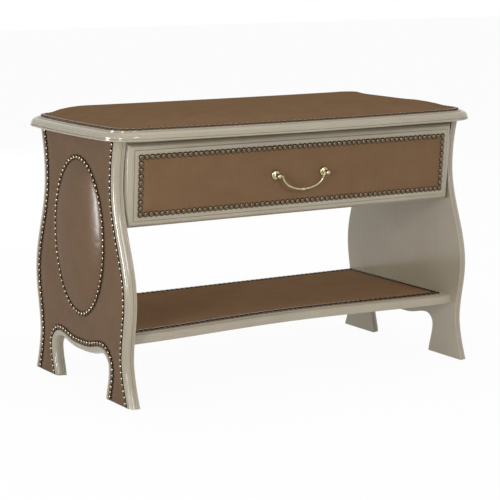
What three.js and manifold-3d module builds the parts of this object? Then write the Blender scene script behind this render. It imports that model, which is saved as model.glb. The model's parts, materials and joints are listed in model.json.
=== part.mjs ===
// An upholstered hallway bench: two bombe side panels, a padded seat, one drawer on telescopic
// slides and a shelf for shoes. Millimetres, +Z up, the front faces -Y, and the origin lies on the
// floor under the middle of the bench.
import * as THREE from 'three';
import { mergeVertices } from 'three/addons/utils/BufferGeometryUtils.js';
import Module from 'manifold-3d';

const wasm = await Module();
wasm.setup();

// Clearances
const fitGap = 0.3; // between pieces that are screwed, glued or nailed to each other
const runningGap = 0.4; // between the members of a slide
const cutOverrun = 2; // how far a cutter runs past the face that it opens

// Side panels: how much deeper than their waist they are to the front and to the rear, and where
const panelThickness = 18;
const panelHeight = 473.3;
const footFlare = 54.2;
const ankleFlare = 32.7;
const bulgeFlare = 46.5;
const topFlare = 13.8;
const ankleHeight = 80;
const bulgeHeight = 190;
const waistDrop = 88.3; // from the panel's top down to its waist
const footFlarePower = 1.55;

// Scalloped arch between the feet of a panel
const archLegWidth = 72.2; // from the arch's widest place to the ankle's edge
const archLegLean = 11.8; // the arch is this much narrower at the floor, on each side
const archCornerWidth = 23.3;
const archBulgeHeight = 57;
const archPeakHeight = 77.5;
const archLobeHeight = 67.4;
const archLegPower = 1.6;
const archLobePower = 2;

// Moulding along the outer edges of a panel
const mouldingWidth = 14;
const mouldingFall = 11;
const filletStep = 1.5;
const edgeBand = 5.5;
const fieldRecess = 4; // from the moulding's crest down to the wood under the vinyl

// Vinyl on the outer face of a panel, and the padded oval in it
const sheetThickness = 2.7;
const sheetLift = 1; // the vinyl stops this far above the floor
const trimEndGap = 2.5; // the nail rows stop this far short of the vinyl's ends
const ovalSideGap = 73.6; // from the oval to the panel's edge, at the height of its centre
const ovalArchGap = 61.9; // from the arch's peaks up to the oval
const ovalTopGap = 43.9;
const ovalRimInset = 4;
const ovalRimHeight = 2.2;
const ovalSwell = 9.5;

// Decorative nails, set in touching rows
const nailRadius = 5.2;
const nailHeight = 2.4;
const nailPitch = 11.1;
const nailGap = 0.9; // from a side's moulding to its nails
const nailNeckHalf = 1.8;
const nailNeckHeight = 0.8;

// Top board: it bows out at the front and a little at the ends
const boardHalfLength = 406.5;
const boardEndOverhang = 30;
const boardFrontOverhang = 51.3;
const boardRearOverhang = 31;
const boardFrontBow = 18;
const boardEndBow = 6;
const boardCornerRadius = 58;
const boardThickness = 18.5;
const boardUndercut = 2.5;
const boardUndercutHeight = 1.5;
const boardLipHeight = 4;
const boardLipStep = 1.5;
const boardOvoloInset = 12;
const boardOvoloTop = 16.2;
const boardMargin = 14;

// Seat: vinyl over foam, drawn down to a trim of nails
const trimEndInset = 24;
const trimFrontInset = 20;
const trimRearInset = 21;
const trimEndBow = 5;
const trimCornerRadius = 42;
const trimCornerLeast = 12;
const coverThickness = 1.5;
const coverHem = 4;
const plateauInset = 45;
const plateauRise = 17.5;
const seatCrown = 4;
const foamInset = 22;

// Lower shelf
const shelfThickness = 18;
const shelfTop = 127;
const shelfFrontSetback = 13.2; // behind the ankles
const shelfRearSetback = 0.5;
const shelfHollow = 22; // its front edge draws back this much in its middle
const shelfOvoloWidth = 7;
const shelfOvoloHeight = 8.5;
const shelfFilletStep = 1.2;
const shelfTrimFrontInset = 19.5;
const shelfTrimEndInset = 20;
const shelfTrimRearInset = 26;
const shelfVinylThickness = 1.5;

// Back panel, front rail and cleats
const backThickness = 16;
const backSetback = 7.2; // its outer face lies this far inside the waist
const railThickness = 16;
const railSetback = 14.2;
const railDepth = 56;
const cleatSize = 20;

// Drawer front: it leans forward at its top
const frontHeight = 153.1;
const frontThickness = 18;
const frontSideGap = 2;
const frontTopGap = 5.7;
const frontProud = 12.8; // its middle lies this far before the waist
const frontLean = THREE.MathUtils.degToRad(4.2);
const frontOvoloWidth = 12;
const frontOvoloFall = 10;
const frontFilletStep = 1.2;
const frontTrimInset = 25;
const padHemThickness = 1.2;
const padSwell = 4;
const padShoulder = 17;

// Drawer box
const boxThickness = 12;
const boxRise = 16.6; // above the lower edge of the drawer front
const boxTopGap = 14;
const boxBackThickness = 12;
const boxBackGap = 12;
const bottomThickness = 4;
const grooveDepth = 6;
const grooveRise = 8;

// Telescopic slides
const slideSpace = 12.7; // between a panel and the drawer side
const slideHeight = 45;
const slideWall = 1.2;
const slideLength = 250;
const slideDrop = 2.5; // below the middle of the drawer sides
const slideSetback = 1;
const slideBackGap = 12.86;

// Handle
const postSpacing = 107;
const handleRise = 2;
const rosetteRadius = 8.2;
const neckRadius = 2.6;
const ballRadius = 5;
const ballReach = 14;
const bailDrop = 27;
const bailRadius = 1.8;
const bailPinRadius = 1.5;
const bailBend = 3;
const barrelRadius = 2.7;
const barrelLength = 9;
const collarOffset = 8;
const collarLength = 1.6;

// Screws
const confirmatLength = 50;
const confirmatRadius = 3.5;
const confirmatHeadRadius = 5;
const confirmatHeadHeight = 3;
const cleatScrewLength = 30;
const cleatScrewRadius = 2;
const cleatScrewHeadRadius = 4;
const cleatScrewHeadHeight = 2.5;
const handleScrewRadius = 2;
const handleScrewHeadRadius = 4;
const handleScrewHeadHeight = 2.2;
const handleScrewGrip = 9; // thread held inside a handle post
const shelfScrewInset = 66.7;
const backScrewInset = 30;
const cleatScrewEndInset = 35;

// How finely curves are stepped
const edgeSteps = 20;
const legSteps = 4;
const archCornerSteps = 4;
const lobeSteps = 5;
const ovalSteps = 36;
const bowSteps = 6;
const hollowSteps = 12;
const endSteps = 4;
const cornerSteps = 4;
const ovoloSteps = 4;
const screwSides = 8;
const postSides = 12;
const bailSides = 8;
const bailSteps = 14;
const bendSteps = 3;

// Lengths that follow: everything lies between the ends of the board
const panelInnerFace = boardHalfLength - boardEndOverhang - panelThickness;
const panelSpan = 2 * panelInnerFace;
const trimHalfLength = boardHalfLength - trimEndInset;
const frontWidth = panelSpan - 2 * frontSideGap;
const boxHalfWidth = panelInnerFace - slideSpace;
const fieldFace = panelThickness - fieldRecess;
const sheetFace = fieldFace + fitGap + sheetThickness;

// Heights that follow: the drawer and its slides hang from the board
const boardBottom = panelHeight + fitGap;
const boardTop = boardBottom + boardThickness;
const waistHeight = panelHeight - waistDrop;
const frontCentreHeight = boardBottom - frontTopGap - (frontHeight / 2) * Math.cos(frontLean);
const frontBottom = frontCentreHeight - (frontHeight / 2) * Math.cos(frontLean);
const backBottom = frontBottom;
const boxBottom = frontBottom + boxRise;
const boxTop = panelHeight - railThickness - boxTopGap;
const slideCentreHeight = (boxBottom + boxTop) / 2 - slideDrop;
const ovalBottom = archPeakHeight + ovalArchGap;
const ovalTop = panelHeight - ovalTopGap;
const ovalCentreHeight = (ovalBottom + ovalTop) / 2;
const ovalHalfHeight = (ovalTop - ovalBottom) / 2;

// Depths that follow: the waist takes in the drawer front, the slides and the back panel
const slideInset = frontThickness + slideSetback
  + (frontBottom + frontHeight / 2 - slideCentreHeight + slideHeight / 2) * Math.tan(frontLean);
const slideRoom = slideInset + slideLength + slideBackGap;
const waistHalfDepth = (slideRoom - frontProud + backThickness + backSetback) / 2;
const footHalfDepth = waistHalfDepth + footFlare;
const ankleHalfDepth = waistHalfDepth + ankleFlare;
const bulgeHalfDepth = waistHalfDepth + bulgeFlare;
const topHalfDepth = waistHalfDepth + topFlare;
const archBulgeHalf = ankleHalfDepth - archLegWidth;
const archFootHalf = archBulgeHalf - archLegLean;
const archPeakHalf = archBulgeHalf - archCornerWidth;
const boardFront = topHalfDepth + boardFrontOverhang;
const boardRear = topHalfDepth + boardRearOverhang;
const trimFront = boardFront - trimFrontInset;
const trimRear = boardRear - trimRearInset;
const shelfFront = ankleHalfDepth - shelfFrontSetback;
const shelfRear = ankleHalfDepth - shelfRearSetback;
const frontFace = waistHalfDepth + frontProud;
const slideFront = slideInset - frontFace;
const backFace = waistHalfDepth - backSetback;
const boxBack = backFace - backThickness - boxBackGap;
const railFront = waistHalfDepth - railSetback;

// Small helpers for shapes

const vec = (x, y, z) => new THREE.Vector3(x, y, z);
const ease = (t) => (1 - Math.cos(Math.PI * t)) / 2;
const mix = THREE.MathUtils.lerp;
const steps = (count) => Array.from({ length: count + 1 }, (_, i) => i / count);
const quarter = Math.PI / 2;

const yzAlongX = new THREE.Matrix4().makeBasis(vec(0, 1, 0), vec(0, 0, 1), vec(1, 0, 0));
const upright = new THREE.Matrix4();
const xzAlongRear = new THREE.Matrix4().makeBasis(vec(-1, 0, 0), vec(0, 0, 1), vec(0, 1, 0));

function signedVolume(geometry) {
  const place = geometry.getAttribute('position');
  const index = geometry.index;
  const a = vec(0, 0, 0);
  const b = vec(0, 0, 0);
  const c = vec(0, 0, 0);
  let sum = 0;
  for (let i = 0; i < index.count; i += 3) {
    a.fromBufferAttribute(place, index.getX(i));
    b.fromBufferAttribute(place, index.getX(i + 1));
    c.fromBufferAttribute(place, index.getX(i + 2));
    sum += a.dot(b.cross(c));
  }
  return sum;
}

function bare(geometry) {
  const plain = new THREE.BufferGeometry();
  plain.setAttribute('position', geometry.getAttribute('position').clone());
  plain.setIndex(geometry.index);
  return mergeVertices(plain);
}

// A closed geometry with shared corners and its faces pointing out
function outward(geometry) {
  const result = bare(geometry);
  if (signedVolume(result) < 0) {
    const index = result.index;
    for (let i = 0; i < index.count; i += 3) {
      const first = index.getX(i);
      index.setX(i, index.getX(i + 1));
      index.setX(i + 1, first);
    }
  }
  result.computeVertexNormals();
  return result;
}

function joinRings(faces, start, count, nextStart, nextCount) {
  const most = Math.max(count, nextCount);
  for (let i = 0; i < most; i += 1) {
    const j = (i + 1) % most;
    if (count > 1) faces.push(start + i, start + j, nextStart + (nextCount > 1 ? j : 0));
    if (nextCount > 1) faces.push(start + (count > 1 ? i : 0), nextStart + j, nextStart + i);
  }
}

function ringNormal(ring) {
  const normal = vec(0, 0, 0);
  ring.forEach((point, i) => {
    normal.add(point.clone().cross(ring[(i + 1) % ring.length]));
  });
  return normal;
}

function capRing(faces, ring, start, reversed) {
  const normal = ringNormal(ring).toArray().map(Math.abs);
  const drop = normal.indexOf(Math.max(...normal));
  const flat = ring.map((point) => {
    const kept = point.toArray().filter((_, axis) => axis !== drop);
    return new THREE.Vector2(...kept);
  });
  const turn = Math.sign(THREE.ShapeUtils.area(flat)) * (reversed ? -1 : 1);
  for (const triangle of THREE.ShapeUtils.triangulateShape(flat, [])) {
    const own = Math.sign(THREE.ShapeUtils.area(triangle.map((i) => flat[i])));
    const [a, b, c] = triangle.map((i) => start + i);
    faces.push(...(own === turn ? [a, b, c] : [a, c, b]));
  }
}

// A solid skinned over rings of points; a ring of one point is a pole. With loop, the last ring
// joins the first, and otherwise both ends are closed with flat caps.
function skin(rings, loop = false) {
  const points = rings.flat();
  const starts = rings.map((_, i) => rings.slice(0, i).flat().length);
  const faces = [];
  const joins = loop ? rings.length : rings.length - 1;
  for (let i = 0; i < joins; i += 1) {
    const j = (i + 1) % rings.length;
    joinRings(faces, starts[i], rings[i].length, starts[j], rings[j].length);
  }
  const last = rings.length - 1;
  if (!loop && rings[0].length > 1) capRing(faces, rings[0], starts[0], true);
  if (!loop && rings[last].length > 1) capRing(faces, rings[last], starts[last], false);
  const geometry = new THREE.BufferGeometry().setFromPoints(points);
  geometry.setIndex(faces);
  return outward(geometry);
}

function extrude(outline, depth, basis, holes = []) {
  const shape = new THREE.Shape(outline.map(([u, v]) => new THREE.Vector2(u, v)));
  shape.holes = holes.map((hole) => new THREE.Path(hole.map(([u, v]) => new THREE.Vector2(u, v))));
  const geometry = new THREE.ExtrudeGeometry(shape, { depth, bevelEnabled: false });
  const index = Array.from({ length: geometry.getAttribute('position').count }, (_, i) => i);
  geometry.setIndex(index);
  return outward(geometry.applyMatrix4(basis));
}

function box([x0, x1], [y0, y1], [z0, z1]) {
  const geometry = new THREE.BoxGeometry(Math.abs(x1 - x0), y1 - y0, z1 - z0);
  return outward(geometry.translate((x0 + x1) / 2, (y0 + y1) / 2, (z0 + z1) / 2));
}

// A turned solid from (radius, height) pairs, its axis along the given direction
function turned(profile, sides, direction) {
  const points = profile.map(([radius, height]) => new THREE.Vector2(radius, height));
  const geometry = outward(new THREE.LatheGeometry(points, sides));
  return geometry.applyQuaternion(new THREE.Quaternion().setFromUnitVectors(vec(0, 1, 0), direction));
}

function toSolid(geometry) {
  const merged = bare(geometry);
  return new wasm.Manifold(new wasm.Mesh({
    numProp: 3,
    vertProperties: Float32Array.from(merged.getAttribute('position').array),
    triVerts: Uint32Array.from(merged.index.array),
  }));
}

function cut(geometry, cutters) {
  const result = cutters.reduce((body, cutter) => body.subtract(toSolid(cutter)), toSolid(geometry));
  const { vertProperties, triVerts } = result.getMesh();
  const cutGeometry = new THREE.BufferGeometry();
  cutGeometry.setAttribute('position', new THREE.BufferAttribute(vertProperties, 3));
  cutGeometry.setIndex(Array.from(triVerts));
  return outward(cutGeometry);
}

// A screw with its head at its start, and the stepped bore that takes it with clearance
function screwProfile(length, radius, headRadius, headHeight, gap = 0) {
  const head = headHeight + gap;
  return [
    [0, -gap && -cutOverrun], [headRadius + gap, -gap && -cutOverrun], [headRadius + gap, head],
    [radius + gap, head], [radius + gap, length + gap], [0, length + gap],
  ];
}

const confirmat = [confirmatLength, confirmatRadius, confirmatHeadRadius, confirmatHeadHeight];
const cleatScrew = [cleatScrewLength, cleatScrewRadius, cleatScrewHeadRadius, cleatScrewHeadHeight];

function screwGeometry(sizes, direction, start) {
  return turned(screwProfile(...sizes), screwSides, direction).translate(...start.toArray());
}

function screwBore(sizes, direction, start) {
  return turned(screwProfile(...sizes, fitGap), screwSides, direction).translate(...start.toArray());
}

// The same shape on the other side of the bench: side is 1 on the right and -1 on the left
function onSide(side, geometry) {
  return outward(geometry.clone().applyMatrix4(new THREE.Matrix4().makeScale(side, 1, 1)));
}

// Materials

const finish = (color, roughness, metalness = 0) => () =>
  new THREE.MeshStandardMaterial({ color, roughness, metalness });
const lacquer = finish('#b5aa98', 0.35);
const vinyl = finish('#7a5c46', 0.5);
const foam = finish('#e6dcb4', 0.9);
const boxWood = finish('#cdb795', 0.6);
const nailBronze = finish('#6b5a38', 0.35, 0.9);
const paleBrass = finish('#b9a77c', 0.25, 0.9);
const zincSteel = finish('#b8bcc0', 0.35, 0.9);

function piece(name, geometry, material) {
  const mesh = new THREE.Mesh(geometry, material());
  mesh.name = name;
  return mesh;
}

// Outline of a side panel, as (depth, height) pairs

function halfDepth(z) {
  if (z < ankleHeight) {
    const flare = (1 - z / ankleHeight) ** footFlarePower;
    return mix(ankleHalfDepth, footHalfDepth, flare);
  }
  if (z < bulgeHeight) {
    return mix(ankleHalfDepth, bulgeHalfDepth, ease((z - ankleHeight) / (bulgeHeight - ankleHeight)));
  }
  if (z < waistHeight) {
    return mix(bulgeHalfDepth, waistHalfDepth, ease((z - bulgeHeight) / (waistHeight - bulgeHeight)));
  }
  return mix(waistHalfDepth, topHalfDepth, ((z - waistHeight) / (panelHeight - waistHeight)) ** 2);
}

const ovalHalfDepth = halfDepth(ovalCentreHeight) - ovalSideGap;

function insetHalfDepth(z, inset) {
  const low = Math.max(z - fitGap, 0);
  const high = Math.min(z + fitGap, panelHeight);
  const slope = (halfDepth(high) - halfDepth(low)) / (high - low);
  return halfDepth(z) - inset * Math.hypot(1, slope);
}

function edgeLine(inset, low, high) {
  return steps(edgeSteps).map((t) => [insetHalfDepth(mix(low, high, t), inset), mix(low, high, t)]);
}

function halfArch(low) {
  const leg = steps(legSteps).map((t) => {
    const z = mix(low, archBulgeHeight, t);
    return [mix(archFootHalf, archBulgeHalf, Math.sin(quarter * (z / archBulgeHeight)) ** archLegPower), z];
  });
  const corner = steps(archCornerSteps).slice(1).map((t) => [
    mix(archPeakHalf, archBulgeHalf, Math.cos(quarter * t)),
    mix(archBulgeHeight, archPeakHeight, Math.sin(quarter * t)),
  ]);
  const lobe = steps(lobeSteps).slice(1).map((t) => [
    archPeakHalf * (1 - t),
    mix(archLobeHeight, archPeakHeight, ease(1 - t) ** archLobePower),
  ]);
  return [...leg, ...corner, ...lobe];
}

// The arch from the rear foot to the front foot, moved by inset into the wood
function archLine(inset, low) {
  const half = halfArch(low);
  const whole = [...half, ...half.slice(0, -1).reverse().map(([y, z]) => [-y, z])];
  return whole.map(([y, z], i) => {
    if (i === 0 || i === whole.length - 1) return [y + Math.sign(y) * inset, z];
    const [backY, backZ] = whole[i - 1];
    const [nextY, nextZ] = whole[i + 1];
    const run = Math.hypot(nextY - backY, nextZ - backZ);
    return [y + (inset * (nextZ - backZ)) / run, z - (inset * (nextY - backY)) / run];
  });
}

function panelOutline(inset, low = 0, high = panelHeight) {
  const rear = edgeLine(inset, low, high).reverse();
  const front = edgeLine(inset, low, high).map(([y, z]) => [-y, z]);
  return [...front, ...rear, ...archLine(inset, low)];
}

function panelProfile() {
  const ovolo = steps(ovoloSteps).map((t) => [
    mix(mouldingWidth, filletStep, Math.sin(quarter * t)),
    mix(panelThickness - mouldingFall, panelThickness, Math.cos(quarter * t)),
  ]);
  const edge = [[0, 0], [0, edgeBand], [filletStep, edgeBand]];
  return [...edge, ...ovolo.reverse(), [mouldingWidth, fieldFace]];
}

const shelfCentreHeight = shelfTop - shelfThickness / 2;
const backCentre = backFace - backThickness / 2;
const railCentre = -railFront + railDepth / 2;
const railCentreHeight = panelHeight - railThickness / 2;
const shelfScrewDepth = shelfRear - shelfScrewInset;

// Where screws go through a side panel, from the wood under the vinyl inward
const panelScrewPlaces = {
  shelf_screw_front: vec(fieldFace, -shelfScrewDepth, shelfCentreHeight),
  shelf_screw_rear: vec(fieldFace, shelfScrewDepth, shelfCentreHeight),
  back_panel_screw_low: vec(fieldFace, backCentre, backBottom + backScrewInset),
  back_panel_screw_high: vec(fieldFace, backCentre, panelHeight - backScrewInset),
  front_rail_screw: vec(fieldFace, railCentre, railCentreHeight),
};

function panelScrewBores(side) {
  const inward = vec(-1, 0, 0);
  return Object.values(panelScrewPlaces).map((place) =>
    onSide(side, screwBore(confirmat, inward, place).translate(panelInnerFace, 0, 0)));
}

const everyPanelBore = [...panelScrewBores(1), ...panelScrewBores(-1)];

function sidePanel() {
  const rings = panelProfile().map(([inset, out]) =>
    panelOutline(inset).map(([y, z]) => vec(panelInnerFace + out, y, z)));
  return cut(skin(rings), panelScrewBores(1));
}

function ovalPoints(halfY, halfZ) {
  return steps(ovalSteps).slice(1).map((t) => {
    const angle = 2 * Math.PI * t;
    return [halfY * Math.cos(angle), ovalCentreHeight + halfZ * Math.sin(angle)];
  });
}

function sideSheet() {
  const outline = panelOutline(mouldingWidth + fitGap, sheetLift, panelHeight - fitGap);
  const hole = ovalPoints(ovalHalfDepth - ovalRimInset, ovalHalfHeight - ovalRimInset);
  const sheet = extrude(outline, sheetThickness, yzAlongX, [hole]);
  return sheet.translate(panelInnerFace + fieldFace + fitGap, 0, 0);
}

function ovalPad() {
  const halfY = ovalHalfDepth - ovalRimInset - fitGap;
  const halfZ = ovalHalfHeight - ovalRimInset - fitGap;
  const seat = panelInnerFace + fieldFace + fitGap;
  const sizeShares = [1, 0.985, 0.93, 0.8, 0.55, 0.28];
  const swellShares = [0, 0.06, 0.42, 0.72, 0.9, 0.98];
  const ring = (share, out) => ovalPoints(halfY * share, halfZ * share).map(([y, z]) =>
    vec(seat + out, y, z));
  const dome = sizeShares.map((share, i) =>
    ring(share, mix(ovalRimHeight, ovalSwell, swellShares[i])));
  return skin([ring(1, 0), ...dome, [vec(seat + ovalSwell, 0, ovalCentreHeight)]]);
}

// Nail trims. A path is a list of { at, across, up, half, rise }.

function trimSection({ at, across, up, half, rise }) {
  const topShare = 0.58;
  const corner = (width, height) =>
    at.clone().addScaledVector(across, width).addScaledVector(up, height);
  return [corner(-half, 0), corner(-half * topShare, rise), corner(half * topShare, rise), corner(half, 0)];
}

function plainTrim(points, up, loop) {
  const count = points.length;
  const rings = points.map((at, i) => {
    const before = loop ? points[(i + count - 1) % count] : points[Math.max(i - 1, 0)];
    const after = loop ? points[(i + 1) % count] : points[Math.min(i + 1, count - 1)];
    const along = after.clone().sub(before).normalize();
    return trimSection({ at, across: along.cross(up), up, half: nailRadius, rise: nailHeight });
  });
  return skin(rings, loop);
}

// Nail by nail round a rectangle in the XZ plane, with a nail on every corner
function beadedFrame(halfWidth, halfHeight, face) {
  const up = vec(0, -1, 0);
  const corners = [
    vec(-halfWidth, face, -halfHeight), vec(halfWidth, face, -halfHeight),
    vec(halfWidth, face, halfHeight), vec(-halfWidth, face, halfHeight),
  ];
  const shoulderShare = 0.3;
  const rings = [];
  corners.forEach((corner, i) => {
    const next = corners[(i + 1) % corners.length];
    const previous = corners[(i + corners.length - 1) % corners.length];
    const run = next.distanceTo(corner);
    const nails = Math.round(run / nailPitch);
    const along = next.clone().sub(corner).normalize();
    const across = along.clone().cross(up);
    const mitre = corner.clone().sub(previous).normalize().cross(up).add(across).normalize();
    const place = (nail) => corner.clone().addScaledVector(along, (run * nail) / nails);
    const ring = (at, line, half, rise) => rings.push(trimSection({ at, across: line, up, half, rise }));
    ring(corner, mitre, nailRadius, nailHeight);
    for (let nail = 0; nail < nails; nail += 1) {
      ring(place(nail + 1 / 2), across, nailNeckHalf, nailNeckHeight);
      if (nail < nails - 1) {
        ring(place(nail + 1 - shoulderShare), across, nailRadius, nailHeight);
        ring(place(nail + 1 + shoulderShare), across, nailRadius, nailHeight);
      }
    }
  });
  return skin(rings, true);
}

const trimLow = sheetLift + trimEndGap;
const nailLine = mouldingWidth + nailGap + nailRadius;

function edgeTrim(direction) {
  const line = edgeLine(nailLine, trimLow, panelHeight - trimEndGap);
  const face = panelInnerFace + sheetFace + fitGap;
  return plainTrim(line.map(([y, z]) => vec(face, direction * y, z)), vec(1, 0, 0), false);
}

function archTrim() {
  const line = archLine(nailLine, trimLow);
  const face = panelInnerFace + sheetFace + fitGap;
  return plainTrim(line.map(([y, z]) => vec(face, y, z)), vec(1, 0, 0), false);
}

function ovalTrim() {
  const face = panelInnerFace + sheetFace + fitGap;
  const line = ovalPoints(ovalHalfDepth, ovalHalfHeight);
  return plainTrim(line.map(([y, z]) => vec(face, y, z)), vec(1, 0, 0), true);
}

function buildSides(bench) {
  const shapes = {
    side_panel: [sidePanel(), lacquer],
    side_upholstery: [sideSheet(), vinyl],
    oval_pad: [ovalPad(), vinyl],
    edge_nail_strip_front: [edgeTrim(-1), nailBronze],
    edge_nail_strip_rear: [edgeTrim(1), nailBronze],
    arch_nail_strip: [archTrim(), nailBronze],
    oval_nail_strip: [ovalTrim(), nailBronze],
  };
  for (const [name, place] of Object.entries(panelScrewPlaces)) {
    const screw = screwGeometry(confirmat, vec(-1, 0, 0), place);
    shapes[name] = [screw.translate(panelInnerFace, 0, 0), zincSteel];
  }
  for (const [sideName, side] of [['left', -1], ['right', 1]]) {
    for (const [name, [geometry, material]] of Object.entries(shapes)) {
      bench.add(piece(`${name}_${sideName}`, onSide(side, geometry), material));
    }
  }
}

// A rounded rectangle with bowed sides: each side is an arc about its own centre and each corner an
// arc about a core corner, so a smaller radius gives a parallel outline.

function bowedSide(from, to, bow, radius, count) {
  const chord = to.clone().sub(from);
  const half = chord.length() / 2;
  const along = chord.normalize();
  const out = new THREE.Vector2(along.y, -along.x);
  const middle = from.clone().add(to).divideScalar(2);
  if (bow === 0) return [from, to].map((end) => end.clone().addScaledVector(out, radius));
  const arcRadius = (half ** 2 + bow ** 2) / (2 * bow);
  const centre = middle.clone().addScaledVector(out, bow - arcRadius);
  const reach = Math.asin(half / arcRadius);
  return steps(count).map((t) => {
    const angle = mix(-reach, reach, t);
    return centre.clone()
      .addScaledVector(along, (arcRadius + radius) * Math.sin(angle))
      .addScaledVector(out, (arcRadius + radius) * Math.cos(angle));
  });
}

function roundedCorner(core, from, to, radius, count) {
  const start = from.clone().sub(core).angle();
  let sweep = to.clone().sub(core).angle() - start;
  if (sweep < 0) sweep += 2 * Math.PI;
  return steps(count).slice(1, -1).map((t) => core.clone().add(
    new THREE.Vector2(Math.cos(start + sweep * t), Math.sin(start + sweep * t)).multiplyScalar(radius)));
}

function bowedOutline({ halfLength, front, rear, frontBow, endBow, radius }) {
  const coreX = halfLength - endBow - radius;
  const coreFront = -(front - frontBow - radius);
  const coreRear = rear - radius;
  const cores = [
    new THREE.Vector2(-coreX, coreFront), new THREE.Vector2(coreX, coreFront),
    new THREE.Vector2(coreX, coreRear), new THREE.Vector2(-coreX, coreRear),
  ];
  const bows = [frontBow, endBow, 0, endBow];
  const counts = [bowSteps, endSteps, 1, endSteps];
  const sides = cores.map((core, i) =>
    bowedSide(core, cores[(i + 1) % cores.length], bows[i], radius, counts[i]));
  return sides.flatMap((side, i) => {
    const next = (i + 1) % sides.length;
    const corner = roundedCorner(cores[next], side[side.length - 1], sides[next][0], radius, cornerSteps);
    return [...side, ...corner];
  });
}

function boardOutline(inset) {
  return bowedOutline({
    halfLength: boardHalfLength - inset,
    front: boardFront - inset,
    rear: boardRear - inset,
    frontBow: boardFrontBow,
    endBow: boardEndBow,
    radius: boardCornerRadius - inset,
  });
}

function seatOutline(inset) {
  return bowedOutline({
    halfLength: trimHalfLength - inset,
    front: trimFront - inset,
    rear: trimRear - inset,
    frontBow: boardFrontBow,
    endBow: trimEndBow,
    radius: Math.max(trimCornerRadius - inset, trimCornerLeast),
  });
}

const level = (outline, z) => outline.map((point) => vec(point.x, point.y, z));

// Cleats under the top board, between the front rail and the back panel
const cleatFront = -railFront + railDepth + fitGap;
const cleatBack = backFace - backThickness - fitGap;
const cleatCentre = panelInnerFace - fitGap - cleatSize / 2;
const cleatBottom = panelHeight - cleatSize;
const cleatScrewPlaces = {
  top_screw_front: vec(cleatCentre, cleatFront + cleatScrewEndInset, cleatBottom),
  top_screw_rear: vec(cleatCentre, cleatBack - cleatScrewEndInset, cleatBottom),
};

function cleatScrewBores() {
  return Object.values(cleatScrewPlaces).flatMap((place) =>
    [1, -1].map((side) => onSide(side, screwBore(cleatScrew, vec(0, 0, 1), place))));
}

function topBoard() {
  const ovolo = steps(ovoloSteps).map((t) => [
    mix(boardOvoloInset, boardLipStep, Math.cos(quarter * t)),
    mix(boardLipHeight + boardLipStep / 2, boardOvoloTop, Math.sin(quarter * t)),
  ]);
  const profile = [
    [boardUndercut, 0], [0, boardUndercutHeight], [0, boardLipHeight], ...ovolo,
    [boardMargin, boardOvoloTop + fitGap], [boardMargin + fitGap, boardThickness],
  ];
  const rings = profile.map(([inset, up]) => level(boardOutline(inset), boardBottom + up));
  return cut(skin(rings), cleatScrewBores());
}

// Height of the seat's outer surface over the board, from the nails to the plateau
function seatRise(inset) {
  const t = (inset - nailRadius) / (plateauInset - nailRadius);
  return mix(coverThickness, plateauRise, Math.sin(quarter * t));
}

function scaledRing(ring, share) {
  const centre = ring.reduce((sum, point) => sum.add(point), vec(0, 0, 0)).divideScalar(ring.length);
  return ring.map((point) => vec(mix(centre.x, point.x, share), mix(centre.y, point.y, share), point.z));
}

// Rings of the padded surface from an inset up over the crown, lowered by drop
function seatSurface(insets, drop) {
  const base = boardTop + fitGap - drop;
  const slope = insets.map((inset) => level(seatOutline(inset), base + seatRise(inset)));
  const plateau = slope[slope.length - 1];
  const crownShares = [0.86, 0.66, 0.42, 0.18];
  const crown = crownShares.map((share) =>
    scaledRing(plateau, share).map((point) => point.add(vec(0, 0, seatCrown * (1 - share ** 2)))));
  const centre = scaledRing(plateau, 0)[0].add(vec(0, 0, seatCrown));
  return [...slope, ...crown, [centre]];
}

const slopeInsets = [foamInset, (foamInset + plateauInset) / 2, plateauInset];

// The cover is one closed skin: hem, outer surface, inner surface and the rim round the foam
function seatCover() {
  const base = boardTop + fitGap;
  const hem = seatOutline(-coverHem);
  const firstSlopeShare = 1 / 3;
  const outerInsets = [nailRadius, mix(nailRadius, foamInset, firstSlopeShare), ...slopeInsets];
  const outer = seatSurface(outerInsets, 0);
  const inner = seatSurface(slopeInsets, coverThickness).reverse();
  const rim = level(seatOutline(foamInset), base);
  return skin([level(hem, base), level(hem, base + coverThickness), ...outer, ...inner, rim], true);
}

function seatFoam() {
  const drop = coverThickness + fitGap;
  const insets = [foamInset + fitGap, ...slopeInsets.slice(1)];
  const top = seatSurface(insets, drop);
  return skin([level(seatOutline(foamInset + fitGap), boardTop + fitGap), ...top]);
}

function seatTrim() {
  const height = boardTop + fitGap + coverThickness + fitGap;
  return plainTrim(level(seatOutline(0), height), vec(0, 0, 1), true);
}

function buildTop(bench) {
  bench.add(piece('top_board', topBoard(), lacquer));
  bench.add(piece('seat_foam', seatFoam(), foam));
  bench.add(piece('seat_cover', seatCover(), vinyl));
  bench.add(piece('seat_nail_strip', seatTrim(), nailBronze));
}

// Lower shelf with its vinyl and nail trim

// Outline of the shelf from above, or of what lies on it, set in from its four edges
function shelfOutline(frontInset, endInset, rearInset) {
  const half = panelInnerFace - endInset;
  const front = steps(hollowSteps).map((t) => {
    const x = mix(-half, half, t);
    const hollow = shelfHollow * ease(1 - Math.abs(x) / panelInnerFace);
    return [x, frontInset + hollow - shelfFront];
  });
  return [...front, [half, shelfRear - rearInset], [-half, shelfRear - rearInset]];
}

function shelfBoard() {
  const edge = steps(ovoloSteps).map((t) => [
    shelfOvoloWidth * (1 - Math.cos(quarter * t)),
    shelfTop - shelfFilletStep - shelfOvoloHeight * (1 - Math.sin(quarter * t)),
  ]);
  const margin = shelfOvoloWidth + shelfFilletStep;
  const profile = [[0, shelfTop - shelfThickness], ...edge, [margin, shelfTop]];
  const rings = profile.map(([inset, z]) =>
    shelfOutline(inset, fitGap, inset).map(([x, y]) => vec(x, y, z)));
  return cut(skin(rings), everyPanelBore);
}

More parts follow.
